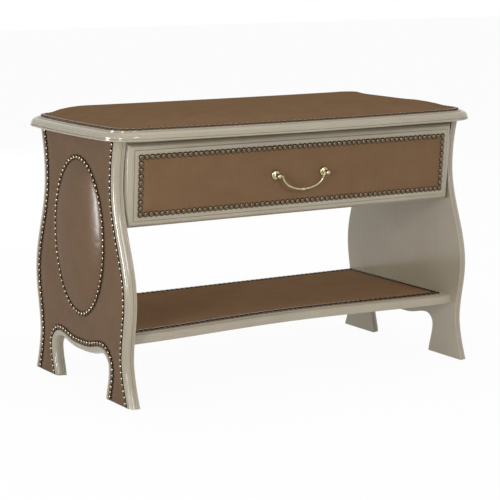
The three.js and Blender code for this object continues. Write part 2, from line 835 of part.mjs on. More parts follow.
function shelfVinyl() {
  const [front, end, rear] = [shelfTrimFrontInset, shelfTrimEndInset, shelfTrimRearInset];
  const outline = shelfOutline(front - coverHem, end - coverHem, rear - coverHem);
  return extrude(outline, shelfVinylThickness, upright).translate(0, 0, shelfTop + fitGap);
}

function shelfTrim() {
  const height = shelfTop + fitGap + shelfVinylThickness + fitGap;
  const outline = shelfOutline(shelfTrimFrontInset, shelfTrimEndInset, shelfTrimRearInset);
  return plainTrim(outline.map(([x, y]) => vec(x, y, height)), vec(0, 0, 1), true);
}

function buildShelf(bench) {
  bench.add(piece('lower_shelf', shelfBoard(), lacquer));
  bench.add(piece('shelf_upholstery', shelfVinyl(), vinyl));
  bench.add(piece('shelf_nail_strip', shelfTrim(), nailBronze));
}

// Back panel, front rail, cleats and their screws

function buildCarcass(bench) {
  const halfX = panelInnerFace - fitGap;
  const back = box([-halfX, halfX], [backFace - backThickness, backFace], [backBottom, panelHeight]);
  bench.add(piece('back_panel', cut(back, everyPanelBore), lacquer));
  const railSpan = [-railFront, -railFront + railDepth];
  const rail = box([-halfX, halfX], railSpan, [panelHeight - railThickness, panelHeight]);
  bench.add(piece('front_top_rail', cut(rail, everyPanelBore), boxWood));
  const inner = cleatCentre - cleatSize / 2;
  const cleatBox = box([inner, inner + cleatSize], [cleatFront, cleatBack], [cleatBottom, panelHeight]);
  const cleat = cut(cleatBox, cleatScrewBores());
  for (const [sideName, side] of [['left', -1], ['right', 1]]) {
    bench.add(piece(`top_cleat_${sideName}`, onSide(side, cleat), boxWood));
    for (const [name, place] of Object.entries(cleatScrewPlaces)) {
      const screw = screwGeometry(cleatScrew, vec(0, 0, 1), place);
      bench.add(piece(`${name}_${sideName}`, onSide(side, screw), zincSteel));
    }
  }
}

// Telescopic slides: three channels, one inside the next

function channel(webFace, openFace, halfHeight) {
  const wall = Math.sign(openFace - webFace) * slideWall;
  const half = halfHeight - slideWall;
  const outline = [
    [webFace, -halfHeight], [openFace, -halfHeight], [openFace, -half], [webFace + wall, -half],
    [webFace + wall, half], [openFace, half], [openFace, halfHeight], [webFace, halfHeight],
  ];
  const flipped = outline.map(([x, z]) => [-x, z]);
  return extrude(flipped, slideLength, xzAlongRear).translate(0, slideFront, slideCentreHeight);
}

function buildSlides(bench) {
  const nest = slideWall + runningGap;
  const cabinetWeb = panelInnerFace - fitGap;
  const midWeb = cabinetWeb - nest;
  const drawerWeb = boxHalfWidth + fitGap;
  const midOpen = drawerWeb + nest;
  const half = slideHeight / 2;
  const shapes = {
    slide_cabinet_member: channel(cabinetWeb, midOpen, half),
    slide_mid_member: channel(midWeb, midOpen, half - nest),
    slide_drawer_member: channel(drawerWeb, midWeb - nest, half - 2 * nest),
  };
  for (const [sideName, side] of [['left', -1], ['right', 1]]) {
    for (const [name, geometry] of Object.entries(shapes)) {
      bench.add(piece(`${name}_${sideName}`, onSide(side, geometry), zincSteel));
    }
  }
}

// Drawer box. Its front ends follow the lean of the drawer front.

// Depth of the plane behind the drawer front, at a height
function behindFront(z) {
  const back = frontThickness + fitGap;
  return -frontFace + (back - (z - frontCentreHeight) * Math.sin(frontLean)) / Math.cos(frontLean);
}

const bottomLow = boxBottom + grooveRise;
const bottomHigh = bottomLow + bottomThickness;

function drawerSide() {
  const outline = [
    [behindFront(boxBottom), boxBottom], [boxBack, boxBottom],
    [boxBack, boxTop], [behindFront(boxTop), boxTop],
  ];
  const inner = boxHalfWidth - boxThickness;
  const board = extrude(outline, boxThickness, yzAlongX).translate(inner, 0, 0);
  const groove = box(
    [inner - cutOverrun, inner + grooveDepth],
    [-frontFace, boxBack + cutOverrun],
    [bottomLow - fitGap, bottomHigh + fitGap],
  );
  return cut(board, [groove]);
}

function drawerBottom() {
  const half = boxHalfWidth - boxThickness + grooveDepth - fitGap;
  const outline = [
    [behindFront(bottomLow), bottomLow], [boxBack, bottomLow],
    [boxBack, bottomHigh], [behindFront(bottomHigh), bottomHigh],
  ];
  return extrude(outline, 2 * half, yzAlongX).translate(-half, 0, 0);
}

function buildDrawerBox(bench) {
  for (const [sideName, side] of [['left', -1], ['right', 1]]) {
    bench.add(piece(`drawer_side_${sideName}`, onSide(side, drawerSide()), boxWood));
  }
  const half = boxHalfWidth - boxThickness - fitGap;
  const back = box([-half, half], [boxBack - boxBackThickness, boxBack], [bottomHigh + fitGap, boxTop]);
  bench.add(piece('drawer_back', back, boxWood));
  bench.add(piece('drawer_bottom', drawerBottom(), boxWood));
}

// Drawer front, in a frame of its own that leans: X along it, Z up it, and the room in front at -Y

function frontRing(inset, out) {
  const halfX = frontWidth / 2 - inset;
  const halfZ = frontHeight / 2 - inset;
  return [
    vec(-halfX, -out, -halfZ), vec(halfX, -out, -halfZ),
    vec(halfX, -out, halfZ), vec(-halfX, -out, halfZ),
  ];
}

const padHemFace = fitGap + padHemThickness;
const padFace = fitGap + padSwell;
const postCentres = [['left', -postSpacing / 2], ['right', postSpacing / 2]];
const handleScrewLength = frontThickness + padFace + fitGap + handleScrewGrip;
const handleScrew = [
  handleScrewLength + handleScrewHeadHeight, handleScrewRadius,
  handleScrewHeadRadius, handleScrewHeadHeight,
];
const handleScrewStart = (x) => vec(x, frontThickness + handleScrewHeadHeight, handleRise);

function handleBores() {
  return postCentres.map(([, x]) =>
    turned([[0, -frontThickness - ballReach], [handleScrewRadius + fitGap, -frontThickness - ballReach],
      [handleScrewRadius + fitGap, frontThickness + cutOverrun], [0, frontThickness + cutOverrun]],
    screwSides, vec(0, 1, 0)).translate(x, 0, handleRise));
}

function drawerFront() {
  const fall = frontOvoloFall + frontFilletStep;
  const ovolo = steps(ovoloSteps).map((t) => [
    mix(frontOvoloWidth, frontFilletStep, Math.cos(quarter * t)),
    mix(-fall, -frontFilletStep, Math.sin(quarter * t)),
  ]);
  const profile = [
    [0, -frontThickness], [0, -fall], ...ovolo,
    [frontOvoloWidth + frontFilletStep, -frontFilletStep], [frontOvoloWidth + frontFilletStep, 0],
  ];
  return cut(skin(profile.map(([inset, out]) => frontRing(inset, out))), handleBores());
}

function frontPad() {
  const hem = frontTrimInset - coverHem;
  const nailEdge = frontTrimInset + nailRadius;
  const rampShare = 1 / 3;
  const rampRiseShare = 2 / 3;
  const rings = [
    frontRing(hem, fitGap), frontRing(hem, padHemFace), frontRing(nailEdge, padHemFace),
    frontRing(nailEdge + padShoulder * rampShare, mix(padHemFace, padFace, rampRiseShare)),
    frontRing(nailEdge + padShoulder, padFace),
  ];
  return cut(skin(rings), handleBores());
}

function frontTrim() {
  const halfWidth = frontWidth / 2 - frontTrimInset;
  const halfHeight = frontHeight / 2 - frontTrimInset;
  return beadedFrame(halfWidth, halfHeight, -padHemFace - fitGap);
}

// Height of a ball's centre over the wood of the drawer front
const ballHeight = padFace + fitGap + ballReach;
const pinTip = postSpacing / 2 - bailPinRadius / 2;
const bailHalfSpan = postSpacing / 2 - ballRadius - bailBend;

function handlePost(side) {
  const ballStart = -Math.PI / 3; // where the neck runs into the ball
  const ballAngles = steps(ovoloSteps).slice(0, -1).map((t) => mix(ballStart, quarter, t));
  const ball = ballAngles.map((angle) => [
    ballRadius * Math.cos(angle), ballReach + ballRadius * Math.sin(angle),
  ]);
  const neckShares = [[1, 0], [1, 0.09], [0.86, 0.2], [0.5, 0.3]];
  const foot = neckShares.map(([radius, height]) => [rosetteRadius * radius, ballReach * height]);
  const profile = [[0, 0], ...foot, [neckRadius, ballReach / 2], ...ball, [0, ballReach + ballRadius]];
  const base = -(padFace + fitGap);
  const post = turned(profile, postSides, vec(0, -1, 0)).translate(0, base, 0);
  const screwHole = turned([[0, 0], [handleScrewRadius + fitGap, 0],
    [handleScrewRadius + fitGap, handleScrewGrip + cutOverrun + fitGap],
    [0, handleScrewGrip + cutOverrun + fitGap]], screwSides, vec(0, -1, 0));
  const socketEnd = pinTip + fitGap - postSpacing / 2;
  const socketLength = socketEnd + ballRadius + cutOverrun;
  const socket = new THREE.CylinderGeometry(
    bailPinRadius + fitGap, bailPinRadius + fitGap, socketLength, bailSides,
  );
  socket.rotateZ(quarter).translate(socketEnd - socketLength / 2, -ballHeight, 0);
  const bored = cut(post, [screwHole.translate(0, base + cutOverrun, 0), outward(socket)]);
  return onSide(side, bored).translate((side * postSpacing) / 2, 0, handleRise);
}

function buildDrawerFront(bench) {
  const front = new THREE.Group();
  front.position.set(0, -frontFace, frontCentreHeight);
  front.rotation.x = frontLean;
  front.add(piece('drawer_front', drawerFront(), lacquer));
  front.add(piece('drawer_front_upholstery', frontPad(), vinyl));
  front.add(piece('drawer_nail_strip', frontTrim(), nailBronze));
  for (const [sideName, x] of postCentres) {
    const screw = turned(screwProfile(...handleScrew), screwSides, vec(0, -1, 0));
    const start = handleScrewStart(x);
    front.add(piece(`handle_post_${sideName}`, handlePost(Math.sign(x)), paleBrass));
    front.add(piece(`handle_screw_${sideName}`, screw.translate(start.x, start.y, start.z), zincSteel));
  }
  bench.add(front);
}

// The bail: a bent rod that swings in the two balls, with a barrel between two collars in its middle

function bailPath() {
  const pin = [[-pinTip, 0, bailPinRadius], [-bailHalfSpan - bailBend, 0, bailPinRadius]];
  const bend = steps(bendSteps).slice(1).map((t) => [
    -bailHalfSpan - bailBend * (1 - Math.sin(quarter * t)),
    -bailBend * (1 - Math.cos(quarter * t)),
    bailRadius,
  ]);
  const startAngle = Math.asin(bailBend / bailDrop);
  const onBow = (x) => -bailDrop * Math.sqrt(1 - (x / bailHalfSpan) ** 2);
  const collarOuter = collarOffset + collarLength / 2;
  const endAngle = Math.acos(collarOuter / bailHalfSpan);
  const arm = steps(bailSteps).slice(1, -1).map((t) => {
    const angle = mix(startAngle, endAngle, t);
    return [-bailHalfSpan * Math.cos(angle), -bailDrop * Math.sin(angle), bailRadius];
  });
  const collarInner = collarOffset - collarLength / 2;
  const barrelEnd = barrelLength / 2;
  const shoulderShare = 0.8;
  const shoulderRadiusShare = 0.9;
  const bellyShare = 1 / 3;
  const swellings = [
    [-collarOuter, bailRadius], [-collarOuter, barrelRadius], [-collarInner, barrelRadius],
    [-collarInner, bailRadius], [-barrelEnd, bailRadius],
    [-barrelEnd * shoulderShare, barrelRadius * shoulderRadiusShare],
    [-barrelEnd * bellyShare, barrelRadius],
  ].map(([x, radius]) => [x, onBow(x), radius]);
  const half = [...pin, ...bend, ...arm, ...swellings];
  return [...half, ...half.slice().reverse().map(([x, z, radius]) => [-x, z, radius])];
}

function bailGeometry() {
  const path = bailPath();
  const centres = path.map(([x, z]) => vec(x, 0, z));
  const rings = path.map(([, , radius], i) => {
    const before = centres[Math.max(i - 1, 0)];
    const after = centres[Math.min(i + 1, path.length - 1)];
    const along = after.clone().sub(before).normalize();
    const side = vec(0, 1, 0);
    const across = side.clone().cross(along);
    return steps(bailSides).slice(1).map((t) => {
      const angle = 2 * Math.PI * t;
      return centres[i].clone()
        .addScaledVector(across, radius * Math.cos(angle))
        .addScaledVector(side, radius * Math.sin(angle));
    });
  });
  return skin(rings);
}

function buildBail(bench) {
  const hinge = vec(0, -ballHeight, handleRise).applyAxisAngle(vec(1, 0, 0), frontLean);
  const bail = piece('handle_bail', bailGeometry(), paleBrass);
  bail.position.set(0, hinge.y - frontFace, hinge.z + frontCentreHeight);
  bench.add(bail);
}

const bench = new THREE.Group();
buildSides(bench);
buildTop(bench);
buildShelf(bench);
buildCarcass(bench);
buildSlides(bench);
buildDrawerBox(bench);
buildDrawerFront(bench);
buildBail(bench);
// The board reaches further to the front than the feet do to the rear
bench.position.y = (boardFront - footHalfDepth) / 2;

export default bench;
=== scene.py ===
import json
import math
import bmesh
import bpy
import numpy as np
from mathutils import Matrix, Vector
from mathutils.geometry import delaunay_2d_cdt

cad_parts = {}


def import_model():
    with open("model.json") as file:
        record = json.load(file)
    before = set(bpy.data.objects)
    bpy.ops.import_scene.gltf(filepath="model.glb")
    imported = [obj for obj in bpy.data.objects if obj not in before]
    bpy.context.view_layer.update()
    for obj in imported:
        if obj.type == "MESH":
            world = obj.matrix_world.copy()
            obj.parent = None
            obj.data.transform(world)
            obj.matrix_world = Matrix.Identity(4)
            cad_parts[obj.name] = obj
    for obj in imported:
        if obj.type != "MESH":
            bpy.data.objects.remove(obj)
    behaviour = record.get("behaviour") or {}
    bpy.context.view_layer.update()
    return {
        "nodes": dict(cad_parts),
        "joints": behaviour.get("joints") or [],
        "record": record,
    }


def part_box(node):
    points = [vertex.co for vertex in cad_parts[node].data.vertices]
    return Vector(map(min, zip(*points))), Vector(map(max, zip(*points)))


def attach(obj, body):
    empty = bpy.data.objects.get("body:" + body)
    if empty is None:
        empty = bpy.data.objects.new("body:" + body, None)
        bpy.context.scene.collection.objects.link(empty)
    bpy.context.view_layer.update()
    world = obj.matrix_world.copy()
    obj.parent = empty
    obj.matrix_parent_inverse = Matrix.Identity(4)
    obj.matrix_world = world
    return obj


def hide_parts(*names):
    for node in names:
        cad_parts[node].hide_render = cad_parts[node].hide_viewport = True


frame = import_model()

# The looks of an upholstered hallway bench. Shapes are worked out in millimetres in the row frame
# and written to the meshes in metres. Sizes that the frame holds are read from it.

METRE = 1000.0  # millimetres
WELD = 1e-6  # metres within which two points become one
FLAT_WELD = 1e-5  # the same for flat points in millimetres
TINY = 1e-9  # the least length that anything is divided by
FLIP = np.array([-1, 1])  # turns a line along the rear of a side into one along its front
SIDES = (("left", -1.0), ("right", 1.0))


def node_box(node):
    low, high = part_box(node)
    return np.array(low) * METRE, np.array(high) * METRE


def joint_place(name):
    joint = next(j for j in frame["joints"] if j["name"] == name)
    return np.array(joint["pos_m"]) * METRE


# Sizes read from the frame
panel_low, panel_high = node_box("side_panel_right")
board_low, board_high = node_box("top_board")
shelf_low, shelf_high = node_box("lower_shelf")
inner_face, panel_face = panel_low[0], panel_high[0]
panel_top = panel_high[2]
middle = (panel_low[1] + panel_high[1]) / 2
foot_half = (panel_high[1] - panel_low[1]) / 2
board_bottom, board_top = board_low[2], board_high[2]
hinge = joint_place("bail_swing")

# Sizes as in the CAD source, some of them fuller or thinner for the looks
fit_gap = 0.3
panel_thickness = panel_face - inner_face
ankle_half, bulge_half, waist_half, top_half = 179.9, 193.7, 147.2, 161.0
ankle_height, bulge_height, waist_height = 80.0, 190.0, 385.0
foot_power = 1.55
arch_foot, arch_bulge, arch_peak = 95.9, 107.7, 84.4
arch_bulge_height, arch_peak_height, arch_lobe_height = 57.0, 77.5, 67.4
arch_leg_power, arch_lobe_power = 1.6, 2.0
moulding_width, moulding_fall, fillet, edge_band = 14.0, 11.0, 1.5, 5.5
field_recess, ovolo_fullness = 4.0, 0.72
sheet_thickness, sheet_lift, trim_end_gap = 2.7, 1.0, 2.5
oval_half_depth, oval_half_height, oval_height = 98.0, 145.0, 284.4
nail_radius, nail_rise, nail_pitch, nail_gap = 5.2, 2.4, 11.1, 0.9
board_front_bow, board_end_bow, board_radius = 18.0, 6.0, 58.0
board_undercut, board_undercut_height = 2.5, 1.5
board_lip, board_lip_step = 4.0, 1.5
board_ovolo, board_ovolo_top, board_margin = 12.0, 16.2, 14.0
seat_end_inset, seat_front_inset, seat_rear_inset = 24.0, 20.0, 21.0
seat_end_bow, seat_radius, seat_least_radius = 5.0, 42.0, 12.0
cover_thickness, cover_hem = 1.5, 4.0
plateau_inset, end_slope, plateau_rise, seat_crown = 45.0, 100.0, 16.8, 4.0
shelf_ovolo, shelf_ovolo_height, shelf_fillet, shelf_hollow = 7.0, 8.5, 1.2, 22.0
shelf_trim = (19.5, 20.0, 26.0)  # inset from the front, the ends and the rear
front_lean = math.radians(4.2)
front_width, front_height, front_thickness = 713.0, 153.1, 18.0
front_ovolo, front_fall, front_fillet, front_trim_inset = 12.0, 10.0, 1.2, 25.0
pad_hem, pad_swell = 1.2, 4.0
post_spacing, handle_rise = 107.0, 2.0
rosette_radius, neck_radius, ball_radius, ball_reach = 9.2, 2.6, 5.0, 14.0
bail_drop, bail_radius, bail_pin_radius, bail_bend = 27.0, 2.1, 1.5, 3.0
barrel_radius, barrel_length, collar_offset, collar_length = 3.1, 9.0, 8.0, 1.6

# Sizes of the looks alone
nail_dark_rim_share = 0.8  # of a nail's radius, beyond which the dome is dark: patina, and painted shade at its edge
nail_hold_share = 0.8  # of a nail's radius, under which the vinyl can't swell
nail_rise_share = 0.75  # of a nail's radius, from which the vinyl rises
nail_seam_share = 0.6  # of a nail's radius, where the seat and the domes start to rise
nail_rim_share = 0.06  # of a nail's rise, that its flat rim takes
nail_lean = 0.02  # spread of the nails' tilts, in radians
row_pitch = nail_pitch / 4  # spacing of the rows of mesh points that follow the nails
bead_width, bead_cut, side_groove = 1.9, 0.8, 0.9
sheet_hem = sheet_thickness - 1.0
dome_swell, dome_power = 17.0, 0.6
dome_reach_share = 0.7  # of a nail's radius, by which a dome ends inside its nails
grid_clearance_share = 0.6  # of the spacing, that a grid keeps from rows of points
side_mesh, seat_mesh, shelf_mesh, drawer_mesh = 7.0, 9.0, 14.0, 8.0  # spacings of mesh points
board_cut, board_corner_steps = 0.9, 13
shelf_hem, shelf_nail_base = 1.3, 1.5
shelf_counts = (56, 24, 56, 24)  # points along each side of a ring
front_cut = 1.2
rosette_edge, rosette_foot, rosette_rise = 1.2, 1.4, 4.2
cloth_quality, cloth_mass, cloth_steps = 4, 0.01, 20
# Degrees from which an edge shows
vinyl_sharp, nail_sharp, brass_sharp, wood_sharp, frame_sharp = 60.0, 50.0, 40.0, 32.0, 30.0

pad_face = fit_gap + pad_swell
field_face = inner_face + panel_thickness - field_recess
ball_height = pad_face + fit_gap + ball_reach
bail_half_span = post_spacing / 2 - ball_radius - bail_bend
front_turn = Matrix.Rotation(front_lean, 3, "X")
front_centre = hinge - np.array(front_turn @ Vector((0, -ball_height, handle_rise)))


# Small helpers for shapes


def mix(a, b, t):
    return a + (b - a) * t


def ease(t):
    return (1 - np.cos(np.pi * np.clip(t, 0, 1))) / 2


def turning(count):
    """Angles over a quarter turn."""
    return np.linspace(0.0, math.pi / 2, count)


def rounded(profile, radius, count=3):
    """The open profile with each inner corner rounded."""
    points = [np.array(p, float) for p in profile]
    result = [points[0]]
    for before, at, after in zip(points, points[1:], points[2:]):
        reach = min(radius, np.linalg.norm(at - before) / 3, np.linalg.norm(after - at) / 3)
        start = at + (before - at) / np.linalg.norm(before - at) * reach
        end = at + (after - at) / np.linalg.norm(after - at) * reach
        for t in np.linspace(0, 1, count + 1):
            result.append((1 - t) ** 2 * start + 2 * t * (1 - t) * at + t**2 * end)
    return [*result, points[-1]]


def ring_faces(ring_count, ring_size, caps=True):
    """Quads between neighbouring rings, and the two end caps."""
    faces = []
    for i in range(ring_count - 1):
        a, b = i * ring_size, (i + 1) * ring_size
        for j in range(ring_size):
            k = (j + 1) % ring_size
            faces.append((a + j, a + k, b + k, b + j))
    if caps:
        faces.append(tuple(range(ring_size))[::-1])
        faces.append(tuple(range((ring_count - 1) * ring_size, ring_count * ring_size)))
    return faces


def dressed(name, points, faces, material, body, stands_for, sharp):
    """A piece from points in millimetres, with its faces turned out and its soft edges smooth."""
    mesh = bpy.data.meshes.new(name)
    mesh.from_pydata([tuple(p) for p in np.asarray(points, float) / METRE], [], faces)
    shape = bmesh.new()
    shape.from_mesh(mesh)
    bmesh.ops.remove_doubles(shape, verts=shape.verts, dist=WELD)
    bmesh.ops.recalc_face_normals(shape, faces=shape.faces)
    shape.to_mesh(mesh)
    shape.free()
    mesh.shade_smooth()
    mesh.set_sharp_from_angle(angle=math.radians(sharp))
    piece = bpy.data.objects.new(name, mesh)
    bpy.context.scene.collection.objects.link(piece)
    mesh.materials.append(material)
    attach(piece, body)
    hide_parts(*stands_for)
    return piece


def skinned(name, rings, material, body, stands_for, sharp=wood_sharp):
    """A piece whose surface runs from ring to ring, capped at both ends."""
    points = np.concatenate([np.asarray(ring, float) for ring in rings])
    faces = ring_faces(len(rings), len(rings[0]))
    return dressed(name, points, faces, material, body, stands_for, sharp)


def to_side(points, side):
    return np.asarray(points, float) * np.array([side, 1, 1])


def front_placed(points):
    """From the drawer front's own frame (X along it, Z up it, -Y out of it) to the row frame."""
    return np.asarray(points, float) @ np.array(front_turn).T + front_centre


def spaced(line, pitch, closed=False):
    """Places at an even pitch along a line of points, its ends included."""
    line = np.asarray(line, float)
    if closed:
        line = np.vstack([line, line[:1]])
    steps = np.linalg.norm(np.diff(line, axis=0), axis=1)
    lengths = np.concatenate([[0], np.cumsum(steps)])
    count = max(round(lengths[-1] / pitch), 1)
    marks = np.linspace(0, lengths[-1], count + 1)
    places = np.stack([np.interp(marks, lengths, values) for values in line.T], axis=1)
    return places[:-1] if closed else places


# Materials


def colour(red, green, blue):
    """A colour in the shader's linear values from one as a screen shows it."""
    shown = np.array([red, green, blue]) / 255
    linear = np.where(shown <= 0.04045, shown / 12.92, ((shown + 0.055) / 1.055) ** 2.4)
    return (*linear, 1.0)


WHITE = colour(255, 255, 255)


class Finish:
    """A material with its nodes at hand."""

    def __init__(self, name, roughness, **sockets):
        self.material = bpy.data.materials.new(name)
        self.material.use_nodes = True
        self.nodes = self.material.node_tree.nodes
        self.links = self.material.node_tree.links
        self.shader = self.nodes["Principled BSDF"]
        self.shader.inputs["Roughness"].default_value = roughness
        for socket, value in sockets.items():
            self.shader.inputs[socket.replace("_", " ").title()].default_value = value
        self.place = self.nodes.new("ShaderNodeTexCoord").outputs["Object"]

    def stretched(self, scale):
        node = self.nodes.new("ShaderNodeMapping")
        node.inputs["Scale"].default_value = scale
        self.links.new(self.place, node.inputs["Vector"])
        return node.outputs["Vector"]

    def noise(self, scale, detail, roughness, stretch=(1, 1, 1)):
        node = self.nodes.new("ShaderNodeTexNoise")
        node.inputs["Scale"].default_value = scale
        node.inputs["Detail"].default_value = detail
        node.inputs["Roughness"].default_value = roughness
        self.links.new(self.stretched(stretch), node.inputs["Vector"])
        return node.outputs["Fac"]

    def cells(self, scale, feature="DISTANCE_TO_EDGE"):
        node = self.nodes.new("ShaderNodeTexVoronoi")
        node.feature = feature
        node.inputs["Scale"].default_value = scale
        self.links.new(self.stretched((1, 1, 1)), node.inputs["Vector"])
        return node.outputs["Distance"]

    def ramp(self, value, *stops):
        node = self.nodes.new("ShaderNodeValToRGB")
        elements = node.color_ramp.elements
        while len(elements) < len(stops):
            elements.new(0.5)
        for element, (at, shade) in zip(elements, stops):
            element.position = at
            element.color = shade
        self.links.new(value, node.inputs["Fac"])
        return node.outputs["Color"]

    def multiplied(self, a, b, share):
        node = self.nodes.new("ShaderNodeMix")
        node.data_type = "RGBA"
        node.blend_type = "MULTIPLY"
        node.inputs["Factor"].default_value = share
        self.links.new(a, node.inputs["A"])
        self.links.new(b, node.inputs["B"])
        return node.outputs["Result"]

    def paint(self, value):
        self.links.new(value, self.shader.inputs["Base Color"])

    def gloss(self, value, low, high):
        node = self.nodes.new("ShaderNodeMapRange")
        node.inputs["To Min"].default_value = low
        node.inputs["To Max"].default_value = high
        self.links.new(value, node.inputs["Value"])
        self.links.new(node.outputs["Result"], self.shader.inputs["Roughness"])

    def bump(self, value, strength, distance):
        node = self.nodes.new("ShaderNodeBump")
        node.inputs["Strength"].default_value = strength
        node.inputs["Distance"].default_value = distance / METRE
        self.links.new(value, node.inputs["Height"])
        last = self.shader.inputs["Normal"]
        if last.is_linked:
            self.links.new(last.links[0].from_socket, node.inputs["Normal"])
        self.links.new(node.outputs["Normal"], last)


def lacquer(name, grain):
    """Satin grey-beige paint, with the faint grain of the wood along one direction."""
    finish = Finish(name, 0.34)
    finish.shader.inputs["Specular IOR Level"].default_value = 0.5
    fine = finish.noise(520, 4.0, 0.6, grain)
    broad = finish.noise(9, 2.0, 0.5)
    tone = finish.ramp(fine, (0.3, colour(160, 151, 133)), (0.7, colour(165, 156, 138)))
    cloud = finish.ramp(broad, (0.35, colour(247, 246, 244)), (0.65, WHITE))
    finish.paint(finish.multiplied(tone, cloud, 1.0))
    finish.gloss(fine, 0.14, 0.2)
    finish.bump(fine, 0.05, 0.05)
    return finish.material


def vinyl(name, dark, light, roughness, pearl=0.0):
    """Smooth mocha leatherette with a fine grain, and a pearly coat where it shines."""
    finish = Finish(name, roughness)
    finish.shader.inputs["Specular IOR Level"].default_value = 0.0
    finish.shader.inputs["Coat Weight"].default_value = pearl
    finish.shader.inputs["Coat Roughness"].default_value = 0.26
    finish.shader.inputs["Coat IOR"].default_value = 1.9
    cloud = finish.noise(28, 3.0, 0.55)
    grain = finish.cells(1100)
    tone = finish.ramp(cloud, (0.3, dark), (0.7, light))
    crease = finish.ramp(grain, (0.0, colour(232, 230, 228)), (0.25, WHITE))
    finish.paint(finish.multiplied(tone, crease, 1.0))
    finish.gloss(cloud, roughness - 0.03, roughness + 0.04)
    finish.bump(grain, 0.12, 0.08)
    return finish.material


def bronze(name, dark, light):
    """Antique bronze, its tone clouded by its patina."""
    finish = Finish(name, 0.3, Metallic=1.0)
    patina = finish.noise(240, 3.0, 0.6)
    finish.paint(finish.ramp(patina, (0.35, dark), (0.7, light)))
    finish.gloss(patina, 0.12, 0.2)
    finish.bump(patina, 0.15, 0.1)
    return finish.material


def brass(name):
    finish = Finish(name, 0.2, Metallic=1.0)
    wear = finish.noise(160, 3.0, 0.55)
    finish.paint(finish.ramp(wear, (0.3, colour(158, 147, 112)), (0.7, colour(196, 186, 150))))
    finish.gloss(wear, 0.14, 0.3)
    finish.bump(wear, 0.1, 0.08)
    return finish.material


def zinc(name):
    finish = Finish(name, 0.35, Metallic=1.0)
    spangle = finish.cells(300, "F1")
    finish.paint(finish.ramp(spangle, (0.0, colour(196, 199, 203)), (0.6, colour(214, 217, 220))))
    finish.gloss(spangle, 0.28, 0.42)
    return finish.material


def bare_wood(name, grain):
    finish = Finish(name, 0.55)
    fine = finish.noise(260, 4.0, 0.6, grain)
    broad = finish.noise(30, 3.0, 0.5, grain)
    tone = finish.ramp(fine, (0.3, colour(204, 180, 143)), (0.7, colour(224, 204, 170)))
    band = finish.ramp(broad, (0.35, colour(232, 222, 208)), (0.65, WHITE))
    finish.paint(finish.multiplied(tone, band, 1.0))
    finish.bump(fine, 0.3, 0.15)
    return finish.material


ALONG_X, ALONG_Z = (0.02, 1, 1), (1, 1, 0.02)
board_lacquer = lacquer("lacquer_along_the_boards", ALONG_X)
panel_lacquer = lacquer("lacquer_up_the_panels", ALONG_Z)
seat_vinyl = vinyl("seat_vinyl", colour(120, 94, 70), colour(126, 100, 75), 0.45)
# The sides' vinyl is the drawer's vinyl made darker: painted shade against the strong light from
# the left
side_vinyl = vinyl("side_vinyl", colour(109, 84, 61), colour(114, 89, 65), 0.3, 0.2)
drawer_vinyl = vinyl("drawer_vinyl", colour(118, 92, 68), colour(123, 97, 72), 0.42, 0.02)
# The shelf's vinyl is the drawer's vinyl made lighter: painted light in the shade under the drawer
shelf_vinyl = vinyl("shelf_vinyl", colour(131, 105, 80), colour(137, 110, 85), 0.5)
nail_bronze = bronze("nail_bronze", colour(92, 80, 62), colour(124, 112, 92))
# Dark finish for the rims of the nails: patina, and painted shade where each dome meets the vinyl
nail_patina_and_painted_shade = bronze("nail_patina_and_painted_shade", colour(34, 27, 19), colour(52, 43, 31))
pale_brass = brass("pale_brass")
zinc_steel = zinc("zinc_steel")
box_wood = bare_wood("box_wood", ALONG_X)


# Outline of a side panel, as (depth, height) pairs


def half_depth(z):
    """Half the depth of a side panel at a height: flared foot, ankle, bulge, waist and top."""
    up_leg = (z - ankle_height) / (bulge_height - ankle_height)
    up_belly = (z - bulge_height) / (waist_height - bulge_height)
    up_neck = (z - waist_height) / (panel_top - waist_height)
    foot = mix(ankle_half, foot_half, np.clip(1 - z / ankle_height, 0, 1) ** foot_power)
    swelling = mix(ankle_half, bulge_half, ease(up_leg))
    narrowing = mix(bulge_half, waist_half, ease(up_belly))
    neck = mix(waist_half, top_half, up_neck**2)
    zones = [z < ankle_height, z < bulge_height, z < waist_height]
    return np.select(zones, [foot, swelling, narrowing], neck)


def edge_line(inset, low, high, count=120):
    """The rear edge of a side panel, moved by inset into the wood."""
    z = np.linspace(low, high, count + 1)
    above, below = np.minimum(z + fit_gap, panel_top), np.maximum(z - fit_gap, 0)
    slope = (half_depth(above) - half_depth(below)) / (above - below)
    return np.stack([half_depth(z) - inset * np.hypot(1, slope), z], axis=1)


def half_arch(low, count=16):
    """The rear half of the arch: leg, rounded corner, and the lobe that hangs in the middle."""
    z = np.linspace(low, arch_bulge_height, count)
    leg = mix(arch_foot, arch_bulge, np.sin(np.pi / 2 * z / arch_bulge_height) ** arch_leg_power)
    turn = turning(count)[1:]
    corner_y = mix(arch_peak, arch_bulge, np.cos(turn))
    corner_z = mix(arch_bulge_height, arch_peak_height, np.sin(turn))
    t = np.linspace(0, 1, count)[1:]
    lobe_z = mix(arch_lobe_height, arch_peak_height, ease(1 - t) ** arch_lobe_power)
    y = np.concatenate([leg, corner_y, arch_peak * (1 - t)])
    return np.stack([y, np.concatenate([z, corner_z, lobe_z])], axis=1)


def arch_line(inset, low):
    """The arch from the rear foot to the front foot, moved by inset into the wood."""
    half = half_arch(low)
    line = np.vstack([half, half[:-1][::-1] * FLIP])
    run = np.gradient(line, axis=0)
    run /= np.linalg.norm(run, axis=1)[:, None]
    moved = line + inset * np.stack([run[:, 1], -run[:, 0]], axis=1)
    for end in (0, -1):
        moved[end] = line[end] + np.array([np.sign(line[end][0]) * inset, 0])
    return moved


def panel_outline(inset, low=0.0, high=None):
    edge = edge_line(inset, low, panel_top if high is None else high)
    return np.vstack([edge * FLIP, edge[::-1], arch_line(inset, low)])


def at_depth(outline, x):
    """(depth, height) pairs as points in a plane of the given x."""
    outline = np.asarray(outline, float)
    return np.column_stack([np.full(len(outline), x), outline[:, 0] + middle, outline[:, 1]])


